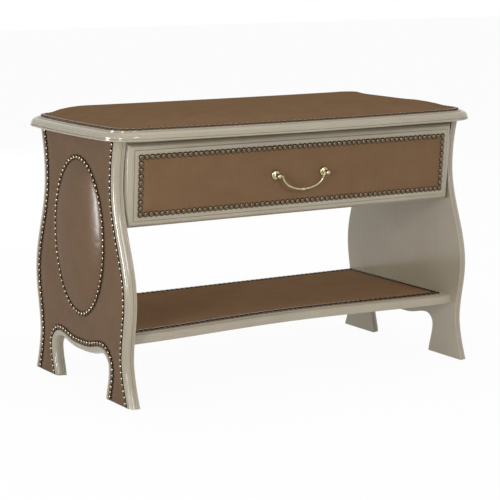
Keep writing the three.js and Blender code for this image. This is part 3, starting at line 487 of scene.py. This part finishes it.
def side_panels():
    """A side panel with its moulding: edge band, bead, groove, full ovolo and recessed field."""
    turn = turning(14)
    ovolo = np.stack([
        mix(moulding_width, fillet, np.sin(turn) ** ovolo_fullness),
        mix(panel_thickness - moulding_fall, panel_thickness, np.cos(turn) ** ovolo_fullness),
    ], axis=1)[::-1]
    bead, groove = edge_band - bead_width, fillet + side_groove
    edge = [
        [fillet, 0], [0, 0], [0, bead - 0.5], [bead_cut, bead - 0.2], [bead_cut, bead + 0.1],
        [0, bead + 0.5], [0, edge_band - 0.3], [0.3, edge_band], [groove, edge_band + 0.2],
        [groove, edge_band + 1.1], ovolo[0],
    ]
    field = panel_thickness - field_recess
    inner = [ovolo[-2], ovolo[-1], [moulding_width, field], [moulding_width + fillet, field]]
    profile = [*rounded(edge, 0.5, 2), *ovolo[1:-2], *rounded(inner, 0.6)]
    rings = [at_depth(panel_outline(inset), inner_face + out) for inset, out in profile]
    for name, side in SIDES:
        skinned(f"panel_{name}", [to_side(r, side) for r in rings], panel_lacquer, "frame",
                [f"side_panel_{name}"])


# Flat sheets of padded vinyl


def distance_to(points, line, closed):
    """How far each point lies from a line of points, both flat."""
    ends = np.roll(line, -1, axis=0) if closed else line[1:]
    starts = line if closed else line[:-1]
    run = ends - starts
    offset = points[:, None, :] - starts[None, :, :]
    along = np.clip((offset * run).sum(2) / np.maximum((run * run).sum(1), TINY), 0, 1)
    gap = offset - along[:, :, None] * run[None, :, :]
    return np.sqrt((gap * gap).sum(2)).min(axis=1)


def inside(points, outline):
    """Which of the points lie inside a closed outline."""
    result = np.zeros(len(points), bool)
    for (ay, az), (by, bz) in zip(outline, np.roll(outline, -1, axis=0)):
        crosses = (az > points[:, 1]) != (bz > points[:, 1])
        at = ay + (points[:, 1] - az) / (bz - az if bz != az else 1) * (by - ay)
        result ^= crosses & (points[:, 0] < at)
    return result


def flat_mesh(outline, holes, rows, spacing):
    """Triangles over an outline with holes, with the given rows of points among an even grid."""
    loops = [np.asarray(loop, float) for loop in [outline, *holes]]
    clearance = spacing * grid_clearance_share
    low, high = loops[0].min(axis=0), loops[0].max(axis=0)
    row_height = spacing * math.sqrt(3) / 2
    grid = np.array([
        (u + (spacing / 2 if k % 2 else 0), v)
        for k, v in enumerate(np.arange(low[1], high[1], row_height))
        for u in np.arange(low[0], high[0], spacing)
    ])

    def within(points):
        keep = inside(points, loops[0])
        for hole in loops[1:]:
            keep &= ~inside(points, hole)
        return keep

    grid = grid[within(grid)]
    for part in [*loops, *rows]:
        grid = grid[distance_to(grid, part, False) > clearance]
    points = np.vstack([*loops, *rows, grid])
    borders, start = [], 0
    for loop in loops:
        borders += [(start + i, start + (i + 1) % len(loop)) for i in range(len(loop))]
        start += len(loop)
    flat = delaunay_2d_cdt([Vector(p) for p in points], borders, [], 0, FLAT_WELD)
    places = np.array([tuple(v) for v in flat[0]])
    triangles = np.array([tuple(f) for f in flat[2] if len(f) == 3])
    triangles = triangles[within(places[triangles].mean(axis=1))]
    used = np.unique(triangles)
    renumbered = np.full(len(places), -1)
    renumbered[used] = np.arange(len(used))
    return places[used], renumbered[triangles]


def slab(places, triangles, top):
    """A closed body over flat triangles: points (u, v, height) with a flat base, and faces."""
    count = len(places)
    upper = np.column_stack([places, top])
    lower = np.column_stack([places, np.zeros(count)])
    faces = [tuple(t) for t in triangles] + [tuple(t[::-1] + count) for t in triangles]
    edges = dict.fromkeys(edge for a, b, c in triangles for edge in ((a, b), (b, c), (c, a)))
    faces += [(b, a, a + count, b + count) for a, b in edges if (b, a) not in edges]
    return np.vstack([upper, lower]), faces


def puffed(distance, hem, rise, reach):
    """Height of padded vinyl at a distance from the line of the nails that hold it down."""
    t = np.maximum(distance - nail_radius * nail_rise_share, 0)
    return hem + rise * (1 - np.exp(-t / reach))


def swollen(points, faces, held, pressure, most):
    """The points of a closed body after its free vinyl has swelled, none by more than a cap."""
    mesh = bpy.data.meshes.new("swelling")
    mesh.from_pydata([tuple(p) for p in points / METRE], [], faces)
    piece = bpy.data.objects.new("swelling", mesh)
    scene = bpy.context.scene
    scene.collection.objects.link(piece)
    group = piece.vertex_groups.new(name="held")
    group.add([int(i) for i in np.flatnonzero(held)], 1.0, "REPLACE")
    modifier = piece.modifiers.new("cloth", "CLOTH")
    modifier.collision_settings.use_collision = False
    cloth = modifier.settings
    cloth.vertex_group_mass = group.name
    cloth.quality = cloth_quality
    cloth.mass = cloth_mass
    cloth.use_pressure = True
    cloth.uniform_pressure_force = pressure
    cloth.effector_weights.gravity = 0.0
    for step in range(1, cloth_steps + 1):
        scene.frame_set(step)
    shaped = piece.evaluated_get(bpy.context.evaluated_depsgraph_get())
    after = np.empty(len(points) * 3)
    shaped.data.vertices.foreach_get("co", after)
    move = after.reshape(-1, 3) * METRE - points
    length = np.maximum(np.linalg.norm(move, axis=1, keepdims=True), TINY)
    bpy.data.objects.remove(piece)
    bpy.data.meshes.remove(mesh)
    scene.frame_set(1)
    return points + move / length * most * np.tanh(length / most)


def nailed(places, free, nails):
    """Which points of a slab are held: its hem, the vinyl under each nail, and its underside."""
    to_nail = np.min(np.linalg.norm(places[:, None, :] - nails[None, :, :], axis=2), axis=1)
    held = ~free | (to_nail < nail_radius * nail_hold_share)
    return np.concatenate([held, np.ones(len(places), bool)])


def oval(grow, count=280):
    """The oval of a side as (depth, height) pairs, moved out by grow."""
    turn = np.linspace(0, 2 * np.pi, count, endpoint=False)
    return np.stack([
        (oval_half_depth + grow) * np.cos(turn),
        oval_height + (oval_half_height + grow) * np.sin(turn),
    ], axis=1)


trim_inset = moulding_width + nail_gap + nail_radius
trim_low = nail_radius + 1


def side_nail_places():
    """Where the nails of a side go, as (depth, height) pairs, row by row."""
    edge = edge_line(trim_inset, trim_low, panel_top - trim_end_gap - nail_radius)
    return {
        "edge_nail_strip_front": spaced(edge * FLIP, nail_pitch),
        "edge_nail_strip_rear": spaced(edge, nail_pitch),
        "arch_nail_strip": spaced(arch_line(trim_inset, trim_low), nail_pitch),
        "oval_nail_strip": spaced(oval(0), nail_pitch, True),
    }


def off_field(points):
    """(depth, height, rise) triples as points on the recessed field of the right side."""
    x = field_face + fit_gap + points[:, 2]
    return np.column_stack([x, points[:, 0] + middle, points[:, 1]])


def side_sheets():
    """Padded vinyl in the recess of a side, drawn down along its edges and round the oval."""
    border = panel_outline(moulding_width + fit_gap, sheet_lift, panel_top - fit_gap)
    hole = oval(-nail_radius / 2, 200)
    insets = (0.0, 3.4, 5.6, 8.4, 12.5, 18.0)
    row_low, row_high = 12, panel_top - 4
    rows = []
    for inset in insets:
        edge = edge_line(trim_inset + inset, row_low, row_high)
        rows += [spaced(edge * FLIP, row_pitch), spaced(edge, row_pitch)]
    rows += [spaced(arch_line(trim_inset + inset, row_low), row_pitch) for inset in insets[:3]]
    rows += [oval(inset) for inset in insets]
    places, triangles = flat_mesh(spaced(border, 4.0, True), [hole], rows, side_mesh)
    edge, arch = edge_line(trim_inset, 0.0, panel_top), arch_line(trim_inset, 0.0)
    distance = np.min([
        distance_to(places, edge, False), distance_to(places, edge * FLIP, False),
        distance_to(places, arch, False), distance_to(places, oval(0), True),
    ], axis=0)
    free = inside(places, panel_outline(trim_inset)) & ~inside(places, oval(0))
    distance = np.where(free, distance, 0)
    points, faces = slab(places, triangles, puffed(distance, sheet_hem, rise=3.0, reach=6.0))
    held = nailed(places, free, np.vstack(list(side_nail_places().values())))
    points = swollen(points, faces, held, pressure=6.0, most=1.3)
    for name, side in SIDES:
        # The sides' vinyl finish is made darker: painted shade against the light from the left
        piece = dressed(f"side_vinyl_{name}", to_side(off_field(points), side), faces, side_vinyl,
                        "frame", [f"side_upholstery_{name}"], vinyl_sharp)


def oval_pads():
    """The stuffed oval of a side: a full dome drawn down at its nails."""
    outline = oval(-nail_radius / 2 - fit_gap, 200)
    rows = [oval(-inset) for inset in (4.5, 6.5, 9.0, 12.5, 17.0, 23.0, 30.0)]
    places, triangles = flat_mesh(outline, [], rows, side_mesh)
    reach = np.array([oval_half_depth, oval_half_height]) - nail_radius * dome_reach_share
    share = np.linalg.norm((places - [0, oval_height]) / reach, axis=1)
    top = sheet_hem + dome_swell * (1 - np.minimum(share, 1) ** 2) ** dome_power
    points, faces = slab(places, triangles, top)
    free = inside(places, oval(-nail_radius * nail_seam_share))
    held = nailed(places, free, side_nail_places()["oval_nail_strip"])
    points = swollen(points, faces, held, pressure=6.0, most=0.9)
    for name, side in SIDES:
        # The ovals share the sides' darker vinyl finish: painted shade against the light from the
        # left
        piece = dressed(f"oval_pad_vinyl_{name}", to_side(off_field(points), side), faces,
                        side_vinyl, "frame", [f"oval_pad_{name}"], vinyl_sharp)


# Decorative nails


def nail_shape(sides=16, count=4):
    """One dome with a thin flat rim, its axis along Z: points and faces."""
    profile = [(1.0, -0.3), (1.0, nail_rim_share)]
    profile += [
        (0.93 * math.cos(a), nail_rim_share + (1 - nail_rim_share) * math.sin(a))
        for a in turning(count)[:-1]
    ]
    angle = np.linspace(0, 2 * np.pi, sides, endpoint=False)
    rings = [
        np.column_stack([radius * np.cos(angle), radius * np.sin(angle), np.full(sides, height)])
        for radius, height in profile
    ]
    points = np.vstack([*rings, [[0, 0, 1.0]]])
    faces = ring_faces(len(rings), sides, caps=False)
    faces.append(tuple(range(sides))[::-1])
    last = (len(rings) - 1) * sides
    faces += [(last + j, last + (j + 1) % sides, len(points) - 1) for j in range(sides)]
    return points * np.array([nail_radius, nail_radius, nail_rise]), faces


def nail_row(name, places, up, body, node, flat=1.0):
    """A nail at each place, its dome along up, as one piece that stands for a CAD strip."""
    shape, shape_faces = nail_shape()
    shape = shape * np.array([1, 1, flat])
    up = np.array(up, float)
    side = np.cross(up, [0, 0, 1] if abs(up[2]) < 0.9 else [1, 0, 0])
    side /= np.linalg.norm(side)
    axes = np.stack([side, np.cross(up, side), up])
    wobble = np.random.default_rng(len(places))
    points, faces = [], []
    for i, place in enumerate(places):
        lean = wobble.normal(0, nail_lean, 2)
        tilt = np.array([[1, 0, -lean[0]], [0, 1, -lean[1]], [lean[0], lean[1], 1]])
        points.append(shape @ tilt @ axes + place)
        faces += [tuple(v + i * len(shape) for v in face) for face in shape_faces]
    row = dressed(name, np.vstack(points), faces, nail_bronze, body, [node],
                  nail_sharp)
    # The low band and rim of each dome take the dark finish: patina, and painted shade at the
    # dome's edge
    row.data.materials.append(nail_patina_and_painted_shade)
    places = np.array(places)
    for polygon in row.data.polygons:
        centre = np.array(polygon.center) * METRE
        offset = places - centre
        offset = offset[np.argmin((offset * offset).sum(axis=1))]
        out = np.linalg.norm(offset - (offset @ up) * up)
        polygon.material_index = int(out > nail_radius * nail_dark_rim_share)


def side_nails():
    face = field_face + sheet_thickness + fit_gap * 2
    for name, side in SIDES:
        for row, places in side_nail_places().items():
            nail_row(f"{row}_nails_{name}", to_side(at_depth(places, face), side), (side, 0, 0),
                     "frame", f"{row}_{name}")


# A rounded rectangle with bowed sides, each side an arc and each corner an arc about a core corner


def bowed_side(start, end, bow, radius, count):
    """One side between two core corners: an arc of the given bow, or straight where it is 0."""
    chord = end - start
    half = np.linalg.norm(chord) / 2
    along = chord / (2 * half)
    out = np.array([along[1], -along[0]])
    t = np.linspace(0, 1, count + 1)
    if bow == 0:
        return start + t[:, None] * chord + out * radius
    arc = (half**2 + bow**2) / (2 * bow)
    centre = (start + end) / 2 + out * (bow - arc)
    angle = mix(-1, 1, t) * math.asin(half / arc)
    return centre + (arc + radius) * (np.sin(angle)[:, None] * along + np.cos(angle)[:, None] * out)


def bowed_outline(half_length, front, rear, front_bow, end_bow, radius, pitch):
    core_x = half_length - end_bow - radius
    core_front, core_rear = -(front - front_bow - radius), rear - radius
    cores = np.array([
        (-core_x, core_front), (core_x, core_front), (core_x, core_rear), (-core_x, core_rear),
    ])
    lengths = (board_high[0] * 2, board_high[1] - board_low[1]) * 2
    sides = []
    for core, after, bow, length in zip(
        cores, np.roll(cores, -1, axis=0), (front_bow, end_bow, 0, end_bow), lengths
    ):
        sides.append(bowed_side(core, after, bow, radius, round(length / pitch)))
    outline = []
    for i, side in enumerate(sides):
        core, after = cores[(i + 1) % 4], sides[(i + 1) % 4][0]
        start = math.atan2(*(side[-1] - core)[::-1])
        sweep = (math.atan2(*(after - core)[::-1]) - start) % (2 * math.pi)
        corner = start + sweep * np.linspace(0, 1, board_corner_steps + 1)[1:-1]
        outline += [side, core + radius * np.stack([np.cos(corner), np.sin(corner)], axis=1)]
    return np.vstack(outline)


def board_outline(inset, pitch=12.0):
    return bowed_outline(
        board_high[0] - inset, middle - board_low[1] - inset, board_high[1] - middle - inset,
        board_front_bow, board_end_bow, board_radius - inset, pitch,
    )


def seat_outline(inset, pitch):
    return bowed_outline(
        board_high[0] - seat_end_inset - inset,
        middle - board_low[1] - seat_front_inset - inset,
        board_high[1] - middle - seat_rear_inset - inset,
        board_front_bow, seat_end_bow, max(seat_radius - inset, seat_least_radius), pitch,
    )


def level(points, height):
    """Flat points as points at one height, or each at its own."""
    points = np.asarray(points, float)
    heights = np.broadcast_to(height, len(points))
    return np.column_stack([points[:, 0], points[:, 1] + middle, heights])


def top_board():
    """The board under the seat: undercut, lip, groove, ovolo and a step up to the flat."""
    turn = turning(12)
    ovolo = np.stack([
        mix(board_ovolo, board_lip_step, np.cos(turn)),
        mix(board_lip + board_lip_step / 2, board_ovolo_top, np.sin(turn)),
    ], axis=1)
    thickness = board_top - board_bottom
    groove, step = board_lip_step + 1.0, board_ovolo_top - board_cut
    lower = rounded([
        [board_undercut + 2, 0], [board_undercut, 0], [0, board_undercut_height], [0, board_lip],
        [groove, board_lip + 0.1], [groove, board_lip + 0.7], ovolo[0], ovolo[1],
    ], 0.8)
    upper = rounded([
        ovolo[-2], ovolo[-1], [board_ovolo + 0.4, step], [board_margin, step],
        [board_margin + fit_gap, thickness], [board_margin + 3, thickness],
    ], 0.5)
    profile = [*lower[:-1], *ovolo[1:-2], *upper]
    rings = [level(board_outline(inset), board_bottom + up) for inset, up in profile]
    skinned("seat_board", rings, board_lacquer, "frame", ["top_board"])


def seat():
    """The padded seat: vinyl over foam, drawn down to the nails, with a low crown."""
    line = seat_outline(0, 5.0)
    fine = [spaced(seat_outline(s, 5.0), row_pitch, True) for s in (0.0, 3.6, 5.6, 8.0, 11.5)]
    broad = [seat_outline(s, 6.0) for s in (16.0, 22.0, 29.0, 36.0, 43.0, 50.0)]
    border = seat_outline(-cover_hem, 4.0)
    places, triangles = flat_mesh(border, [], fine + broad, seat_mesh)
    free = inside(places, line)
    distance = np.where(free, distance_to(places, line, True), 0)
    from_end = board_high[0] - seat_end_inset - abs(places[:, 0])
    from_long = np.minimum(places[:, 1] - line[:, 1].min(), line[:, 1].max() - places[:, 1])
    reach = mix(plateau_inset, end_slope, ease((from_long - from_end) / end_slope + 0.5))
    t = np.clip((distance - nail_radius * nail_seam_share) / (reach - nail_radius), 0, 1)
    depth = board_high[1] - board_low[1] - seat_front_inset - seat_rear_inset
    share = 1 - np.clip((distance - plateau_inset) / (depth / 2 - plateau_inset), 0, 1)
    top = mix(cover_thickness, plateau_rise, np.sin(np.pi / 2 * t))
    points, faces = slab(places, triangles, top + seat_crown * (1 - share**2))
    nails = spaced(line, nail_pitch, True)
    points = swollen(points, faces, nailed(places, free, nails), pressure=5.0, most=0.8)
    placed = level(points, points[:, 2] + board_top + fit_gap)
    piece = dressed("seat_cushion", placed, faces, seat_vinyl, "frame",
                    ["seat_cover", "seat_foam"], vinyl_sharp)
    height = board_top + fit_gap * 2 + cover_thickness
    nail_row("seat_nails", level(nails, height), (0, 0, 1), "frame", "seat_nail_strip", 0.8)


# Lower shelf


def shelf_sides(front_inset, end_inset, rear_inset):
    """The four sides of the shelf from above, or of what lies on it; its front is hollow."""
    half = inner_face - end_inset
    x = np.linspace(-half, half, 61)
    front = shelf_low[1] + front_inset + shelf_hollow * ease(1 - abs(x) / inner_face) - middle
    rear = shelf_high[1] - rear_inset - middle
    corners = [(half, front[-1]), (half, rear), (-half, rear), (-half, front[0])]
    return [np.stack([x, front], axis=1), *zip(corners, corners[1:])]


def round_trip(sides, pitch):
    """The sides as one closed line of evenly spaced points that keeps its corners."""
    return np.vstack([spaced(side, pitch)[:-1] for side in sides])


def shelf_ring(inset, height):
    """One ring of the shelf board, with the same number of points at every inset."""
    ring = []
    for side, count in zip(shelf_sides(inset, fit_gap, inset), shelf_counts):
        side = np.array(side)
        length = np.linalg.norm(np.diff(side, axis=0), axis=1).sum()
        ring.append(spaced(side, length / count)[:-1])
    return level(np.vstack(ring), height)


def shelf():
    """The shelf board: an ovolo under a fillet along its front and rear."""
    top, low = shelf_high[2], shelf_low[2]
    turn = turning(10)
    edge = np.stack([
        shelf_ovolo * (1 - np.cos(turn)),
        top - shelf_fillet - shelf_ovolo_height * (1 - np.sin(turn)),
    ], axis=1)
    margin = shelf_ovolo + shelf_fillet
    lower = rounded([[3, low], [0, low], edge[0], edge[1]], 1.0)
    upper = rounded([edge[-1], [margin, edge[-1][1]], [margin, top], [margin + 3, top]], 0.4)
    profile = [*lower[:-1], *edge[1:-1], *upper]
    rings = [shelf_ring(inset, height) for inset, height in profile]
    skinned("shelf_board", rings, board_lacquer, "frame", ["lower_shelf"])


def shelf_cover():
    """Vinyl laid over the shelf and nailed round its edges."""
    front, end, rear = shelf_trim

    def around(inset, pitch):
        return round_trip(shelf_sides(front + inset, end + inset, rear + inset), pitch)

    rows = [around(s, row_pitch) for s in (0.0, 3.6, 6.0, 9.0, 13.0)]
    places, triangles = flat_mesh(around(-cover_hem, 5.0), [], rows, shelf_mesh)
    line = around(0, 3.0)
    free = inside(places, line)
    distance = np.where(free, distance_to(places, line, True), 0)
    points, faces = slab(places, triangles, puffed(distance, shelf_hem, rise=0.9, reach=5.0))
    nails = around(0, nail_pitch)
    points = swollen(points, faces, nailed(places, free, nails), pressure=2.0, most=0.6)
    placed = level(points, points[:, 2] + shelf_high[2] + fit_gap)
    # The shelf's vinyl finish is made lighter: painted light in the shade under the drawer
    piece = dressed("shelf_vinyl_cover", placed, faces, shelf_vinyl, "frame",
                    ["shelf_upholstery"], vinyl_sharp)
    height = shelf_high[2] + fit_gap * 2 + shelf_nail_base
    nail_row("shelf_nails", level(nails, height), (0, 0, 1), "frame", "shelf_nail_strip", 0.7)


# Drawer front, in its own frame


def front_ring(inset, out):
    """One ring of the drawer front, as its four corners."""
    x, z = front_width / 2 - inset, front_height / 2 - inset
    return np.array([(-x, -out, -z), (x, -out, -z), (x, -out, z), (-x, -out, z)])


def drawer_front():
    """The drawer front with its moulded frame; the grain runs along the frame's four members."""
    fall = front_fall + front_fillet
    turn = turning(12)
    ovolo = np.stack([
        mix(front_ovolo, front_fillet, np.cos(turn)),
        mix(-fall, -front_fillet, np.sin(turn)),
    ], axis=1)
    back = -front_thickness
    lower = rounded([[3, back], [0, back], [0, -fall], ovolo[0]], 0.8)
    groove, margin = -front_fillet - front_cut, front_ovolo + front_fillet
    upper = rounded([
        ovolo[-2], ovolo[-1], [front_ovolo + 0.3, groove], [margin, groove], [margin, 0],
        [front_ovolo + 4, 0],
    ], 0.4)
    profile = [*lower, *ovolo[1:-2], *upper]
    rings = [front_placed(front_ring(inset, out)) for inset, out in profile]
    face = skinned("drawer_face", rings, board_lacquer, "drawer", ["drawer_front"],
                   frame_sharp)
    face.data.materials.append(panel_lacquer)
    for polygon in face.data.polygons:
        place = np.array(polygon.center) * METRE - front_centre
        from_end = front_width / 2 - abs(place[0])
        from_edge = front_height / 2 - abs(place[2]) / math.cos(front_lean)
        polygon.material_index = int(from_end < from_edge)


def drawer_pad():
    """Padded vinyl on the drawer front, drawn down at its nails."""

    def around(grow, pitch):
        x = front_width / 2 - front_trim_inset + grow
        z = front_height / 2 - front_trim_inset + grow
        corners = [(-x, -z), (x, -z), (x, z), (-x, z), (-x, -z)]
        return round_trip(zip(corners, corners[1:]), pitch)

    rows = [around(-s, row_pitch) for s in (0.0, 3.6, 5.6, 8.0, 11.5, 16.0)]
    places, triangles = flat_mesh(around(cover_hem, 5.0), [], rows, drawer_mesh)
    line = around(0, 3.0)
    free = inside(places, line)
    distance = np.where(free, distance_to(places, line, True), 0)
    top = puffed(distance, pad_hem, rise=pad_swell - pad_hem - 0.6, reach=5.0)
    points, faces = slab(places, triangles, top)
    nails = around(0, nail_pitch)
    points = swollen(points, faces, nailed(places, free, nails), pressure=4.0, most=0.7)
    placed = front_placed(np.column_stack([points[:, 0], -fit_gap - points[:, 2], points[:, 1]]))
    piece = dressed("drawer_vinyl_pad", placed, faces, drawer_vinyl, "drawer",
                    ["drawer_front_upholstery"], vinyl_sharp)
    base = np.full(len(nails), -2 * fit_gap - pad_hem)
    up = np.array(front_turn @ Vector((0, -1, 0)))
    nail_row("drawer_nails", front_placed(np.column_stack([nails[:, 0], base, nails[:, 1]])), up,
             "drawer", "drawer_nail_strip")


# Handle


def lathe(profile, sides, axis, origin):
    """Rings of a turned piece: (radius, height) pairs about an axis."""
    axis = np.array(axis, float)
    side = np.cross(axis, [1, 0, 0])
    side /= np.linalg.norm(side)
    other = np.cross(axis, side)
    angle = np.linspace(0, 2 * np.pi, sides, endpoint=False)[:, None]
    circle = np.cos(angle) * side + np.sin(angle) * other
    origin = np.asarray(origin, float)
    return [origin + axis * height + circle * max(radius, 1e-3) for radius, height in profile]


def handle_posts():
    """The two turned posts of the handle: a domed rosette, a neck and a ball."""
    ball = [
        (ball_radius * math.cos(a), ball_reach + ball_radius * math.sin(a))
        for a in np.linspace(-math.pi / 3, math.pi / 2, 12)
    ]
    dome = [
        (rosette_radius * math.cos(a), rosette_foot + rosette_rise * math.sin(a))
        for a in turning(8)[:-2]
    ]
    edge = [(0, 0), (rosette_radius, 0), (rosette_radius, rosette_edge)]
    profile = [*edge, *dome, (neck_radius, ball_reach / 2), *ball]
    for name, side in SIDES:
        origin = np.array([side * post_spacing / 2, -pad_face - fit_gap, handle_rise])
        rings = lathe(profile, 32, (0, -1, 0), origin)
        skinned(f"handle_rosette_{name}", [front_placed(r) for r in rings], pale_brass, "drawer",
                [f"handle_post_{name}"], brass_sharp)


def bail_path():
    """(x, drop, radius) along the bail from its left pin to its middle, then mirrored."""
    pin_tip = post_spacing / 2 - bail_pin_radius / 2
    bend_start = bail_half_span + bail_bend
    path = [(-pin_tip, 0, bail_pin_radius), (-bend_start, 0, bail_pin_radius)]
    for a in turning(6)[1:]:
        x = -bail_half_span - bail_bend * (1 - math.sin(a))
        path.append((x, -bail_bend * (1 - math.cos(a)), bail_radius))
    outer, inner = collar_offset + collar_length / 2, collar_offset - collar_length / 2
    start = math.asin(bail_bend / bail_drop)
    end = math.acos(outer / bail_half_span)
    for a in np.linspace(start, end, 26)[1:-1]:
        path.append((-bail_half_span * math.cos(a), -bail_drop * math.sin(a), bail_radius))
    turned = [
        (outer, bail_radius), (outer - 0.2, barrel_radius * 0.94), (collar_offset, barrel_radius),
        (inner + 0.2, barrel_radius * 0.94), (inner, bail_radius),
        (barrel_length / 2, bail_radius), (barrel_length * 0.45, barrel_radius * 0.8),
        (barrel_length * 0.3, barrel_radius), (barrel_length * 0.1, barrel_radius * 1.05),
    ]
    for x, radius in turned:
        path.append((-x, -bail_drop * math.sqrt(1 - (x / bail_half_span) ** 2), radius))
    return path + [(-x, drop, radius) for x, drop, radius in reversed(path)]


def bail():
    """The swinging bail, a tube along its path that swells at its collars and barrel."""
    path = bail_path()
    centres = np.array([(x, 0, drop) for x, drop, radius in path]) + hinge
    out = np.array([0, 1.0, 0])
    angle = np.linspace(0, 2 * np.pi, 16, endpoint=False)[:, None]
    rings = []
    for i, (x, drop, radius) in enumerate(path):
        along = centres[min(i + 1, len(path) - 1)] - centres[max(i - 1, 0)]
        along /= np.linalg.norm(along)
        across = np.cross(out, along)
        rings.append(centres[i] + radius * (np.cos(angle) * across + np.sin(angle) * out))
    skinned("bail_handle", rings, pale_brass, "bail", ["handle_bail"], brass_sharp)


# Pieces that keep their CAD shape


def plain_pieces():
    """The pieces that show with their CAD shape get the finish of their slot."""
    finishes = {"plain_wood": box_wood, "zinc_steel": zinc_steel, "painted_wood": board_lacquer}
    slots = {s["node"]: s["material_slot"] for s in frame["record"]["subparts"]}
    for node, obj in frame["nodes"].items():
        if not obj.hide_render:
            obj.data.materials.clear()
            obj.data.materials.append(finishes[slots[node]])


side_panels()
side_sheets()
oval_pads()
side_nails()
top_board()
seat()
shelf()
shelf_cover()
drawer_front()
drawer_pad()
handle_posts()
bail()
plain_pieces()


# Floor, light and camera


floor_glow, ambient_strength = 0.94, 0.46
lens = 129.527
camera_place = (-1.81309, -2.92949, 0.82403)
camera_down, camera_turn = 9.872, 31.612  # degrees below level, and towards the right


def background_rays(nodes, links, strength):
    """The given strength for camera, glossy and transmission rays, and nought for the rest."""
    path = nodes.new("ShaderNodeLightPath")
    seen = path.outputs["Is Camera Ray"]
    for ray in ("Is Glossy Ray", "Is Transmission Ray"):
        either = nodes.new("ShaderNodeMath")
        either.operation = "MAXIMUM"
        links.new(seen, either.inputs[0])
        links.new(path.outputs[ray], either.inputs[1])
        seen = either.outputs[0]
    share = nodes.new("ShaderNodeMath")
    share.operation = "MULTIPLY"
    share.inputs[1].default_value = strength
    links.new(seen, share.inputs[0])
    return share.outputs[0]


def floor():
    """A pale floor that takes the object's shadow and is seen nearly white."""
    mesh = bpy.data.meshes.new("floor")
    half = 12.0
    corners = [(-half, -half, 0), (half, -half, 0), (half, half, 0), (-half, half, 0)]
    mesh.from_pydata(corners, [], [(0, 1, 2, 3)])
    obj = bpy.data.objects.new("floor", mesh)
    bpy.context.scene.collection.objects.link(obj)
    finish = Finish("floor_white", 0.9)
    finish.shader.inputs["Base Color"].default_value = (0.9, 0.9, 0.9, 1)
    glow = finish.nodes.new("ShaderNodeEmission")
    blend = finish.nodes.new("ShaderNodeMixShader")
    finish.links.new(background_rays(finish.nodes, finish.links, floor_glow), blend.inputs["Fac"])
    finish.links.new(finish.shader.outputs[0], blend.inputs[1])
    finish.links.new(glow.outputs[0], blend.inputs[2])
    finish.links.new(blend.outputs[0], finish.nodes["Material Output"].inputs["Surface"])
    mesh.materials.append(finish.material)


def world():
    """White where it is seen, and a softer light on the object."""
    made = bpy.data.worlds.new("studio")
    made.use_nodes = True
    nodes, links = made.node_tree.nodes, made.node_tree.links
    shown = nodes["Background"]
    shown.inputs["Color"].default_value = (1, 1, 1, 1)
    shown.inputs["Strength"].default_value = 1.0
    ambient = nodes.new("ShaderNodeBackground")
    ambient.inputs["Color"].default_value = (1, 1, 1, 1)
    ambient.inputs["Strength"].default_value = ambient_strength
    blend = nodes.new("ShaderNodeMixShader")
    links.new(background_rays(nodes, links, 1.0), blend.inputs["Fac"])
    links.new(ambient.outputs[0], blend.inputs[1])
    links.new(shown.outputs[0], blend.inputs[2])
    links.new(blend.outputs[0], nodes["World Output"].inputs["Surface"])
    bpy.context.scene.world = made


def lamp(name, place, target, size, energy):
    """A rectangular lamp, in metres and watts, turned towards its target."""
    data = bpy.data.lights.new(name, "AREA")
    data.shape = "RECTANGLE"
    data.size, data.size_y = size
    data.energy = energy
    obj = bpy.data.objects.new(name, data)
    obj.location = place
    obj.rotation_euler = (Vector(target) - Vector(place)).to_track_quat("-Z", "Y").to_euler()
    bpy.context.scene.collection.objects.link(obj)
    return obj


def camera():
    data = bpy.data.cameras.new("camera")
    data.sensor_width = 36.0
    data.lens = lens
    data.clip_end = 60.0
    obj = bpy.data.objects.new("camera", data)
    obj.location = camera_place
    obj.rotation_euler = (math.radians(90 - camera_down), 0, math.radians(-camera_turn))
    bpy.context.scene.collection.objects.link(obj)
    bpy.context.scene.camera = obj


floor()
world()
lamp("overhead", (0.0, -0.3, 2.4), (0, 0, 0.4), size=(2.2, 1.6), energy=13)
lamp("key", (-3.0, -1.9, 0.8), (0, 0, 0.3), size=(0.5, 1.4), energy=40)
lamp("front", (-0.2, -4.0, 2.1), (0, 0, 0.3), size=(1.0, 1.0), energy=50)
rear = lamp("rear", (0.2, 3.4, 1.5), (0, 0, 0.2), size=(1.6, 1.2), energy=45)
rear.visible_glossy = False
sheen = lamp("sheen", (-3.1, 0.6, 0.5), (-0.4, 0, 0.3), size=(0.65, 1.2), energy=105)
sheen.visible_diffuse = False
camera()
bpy.context.scene.view_settings.view_transform = "Standard"
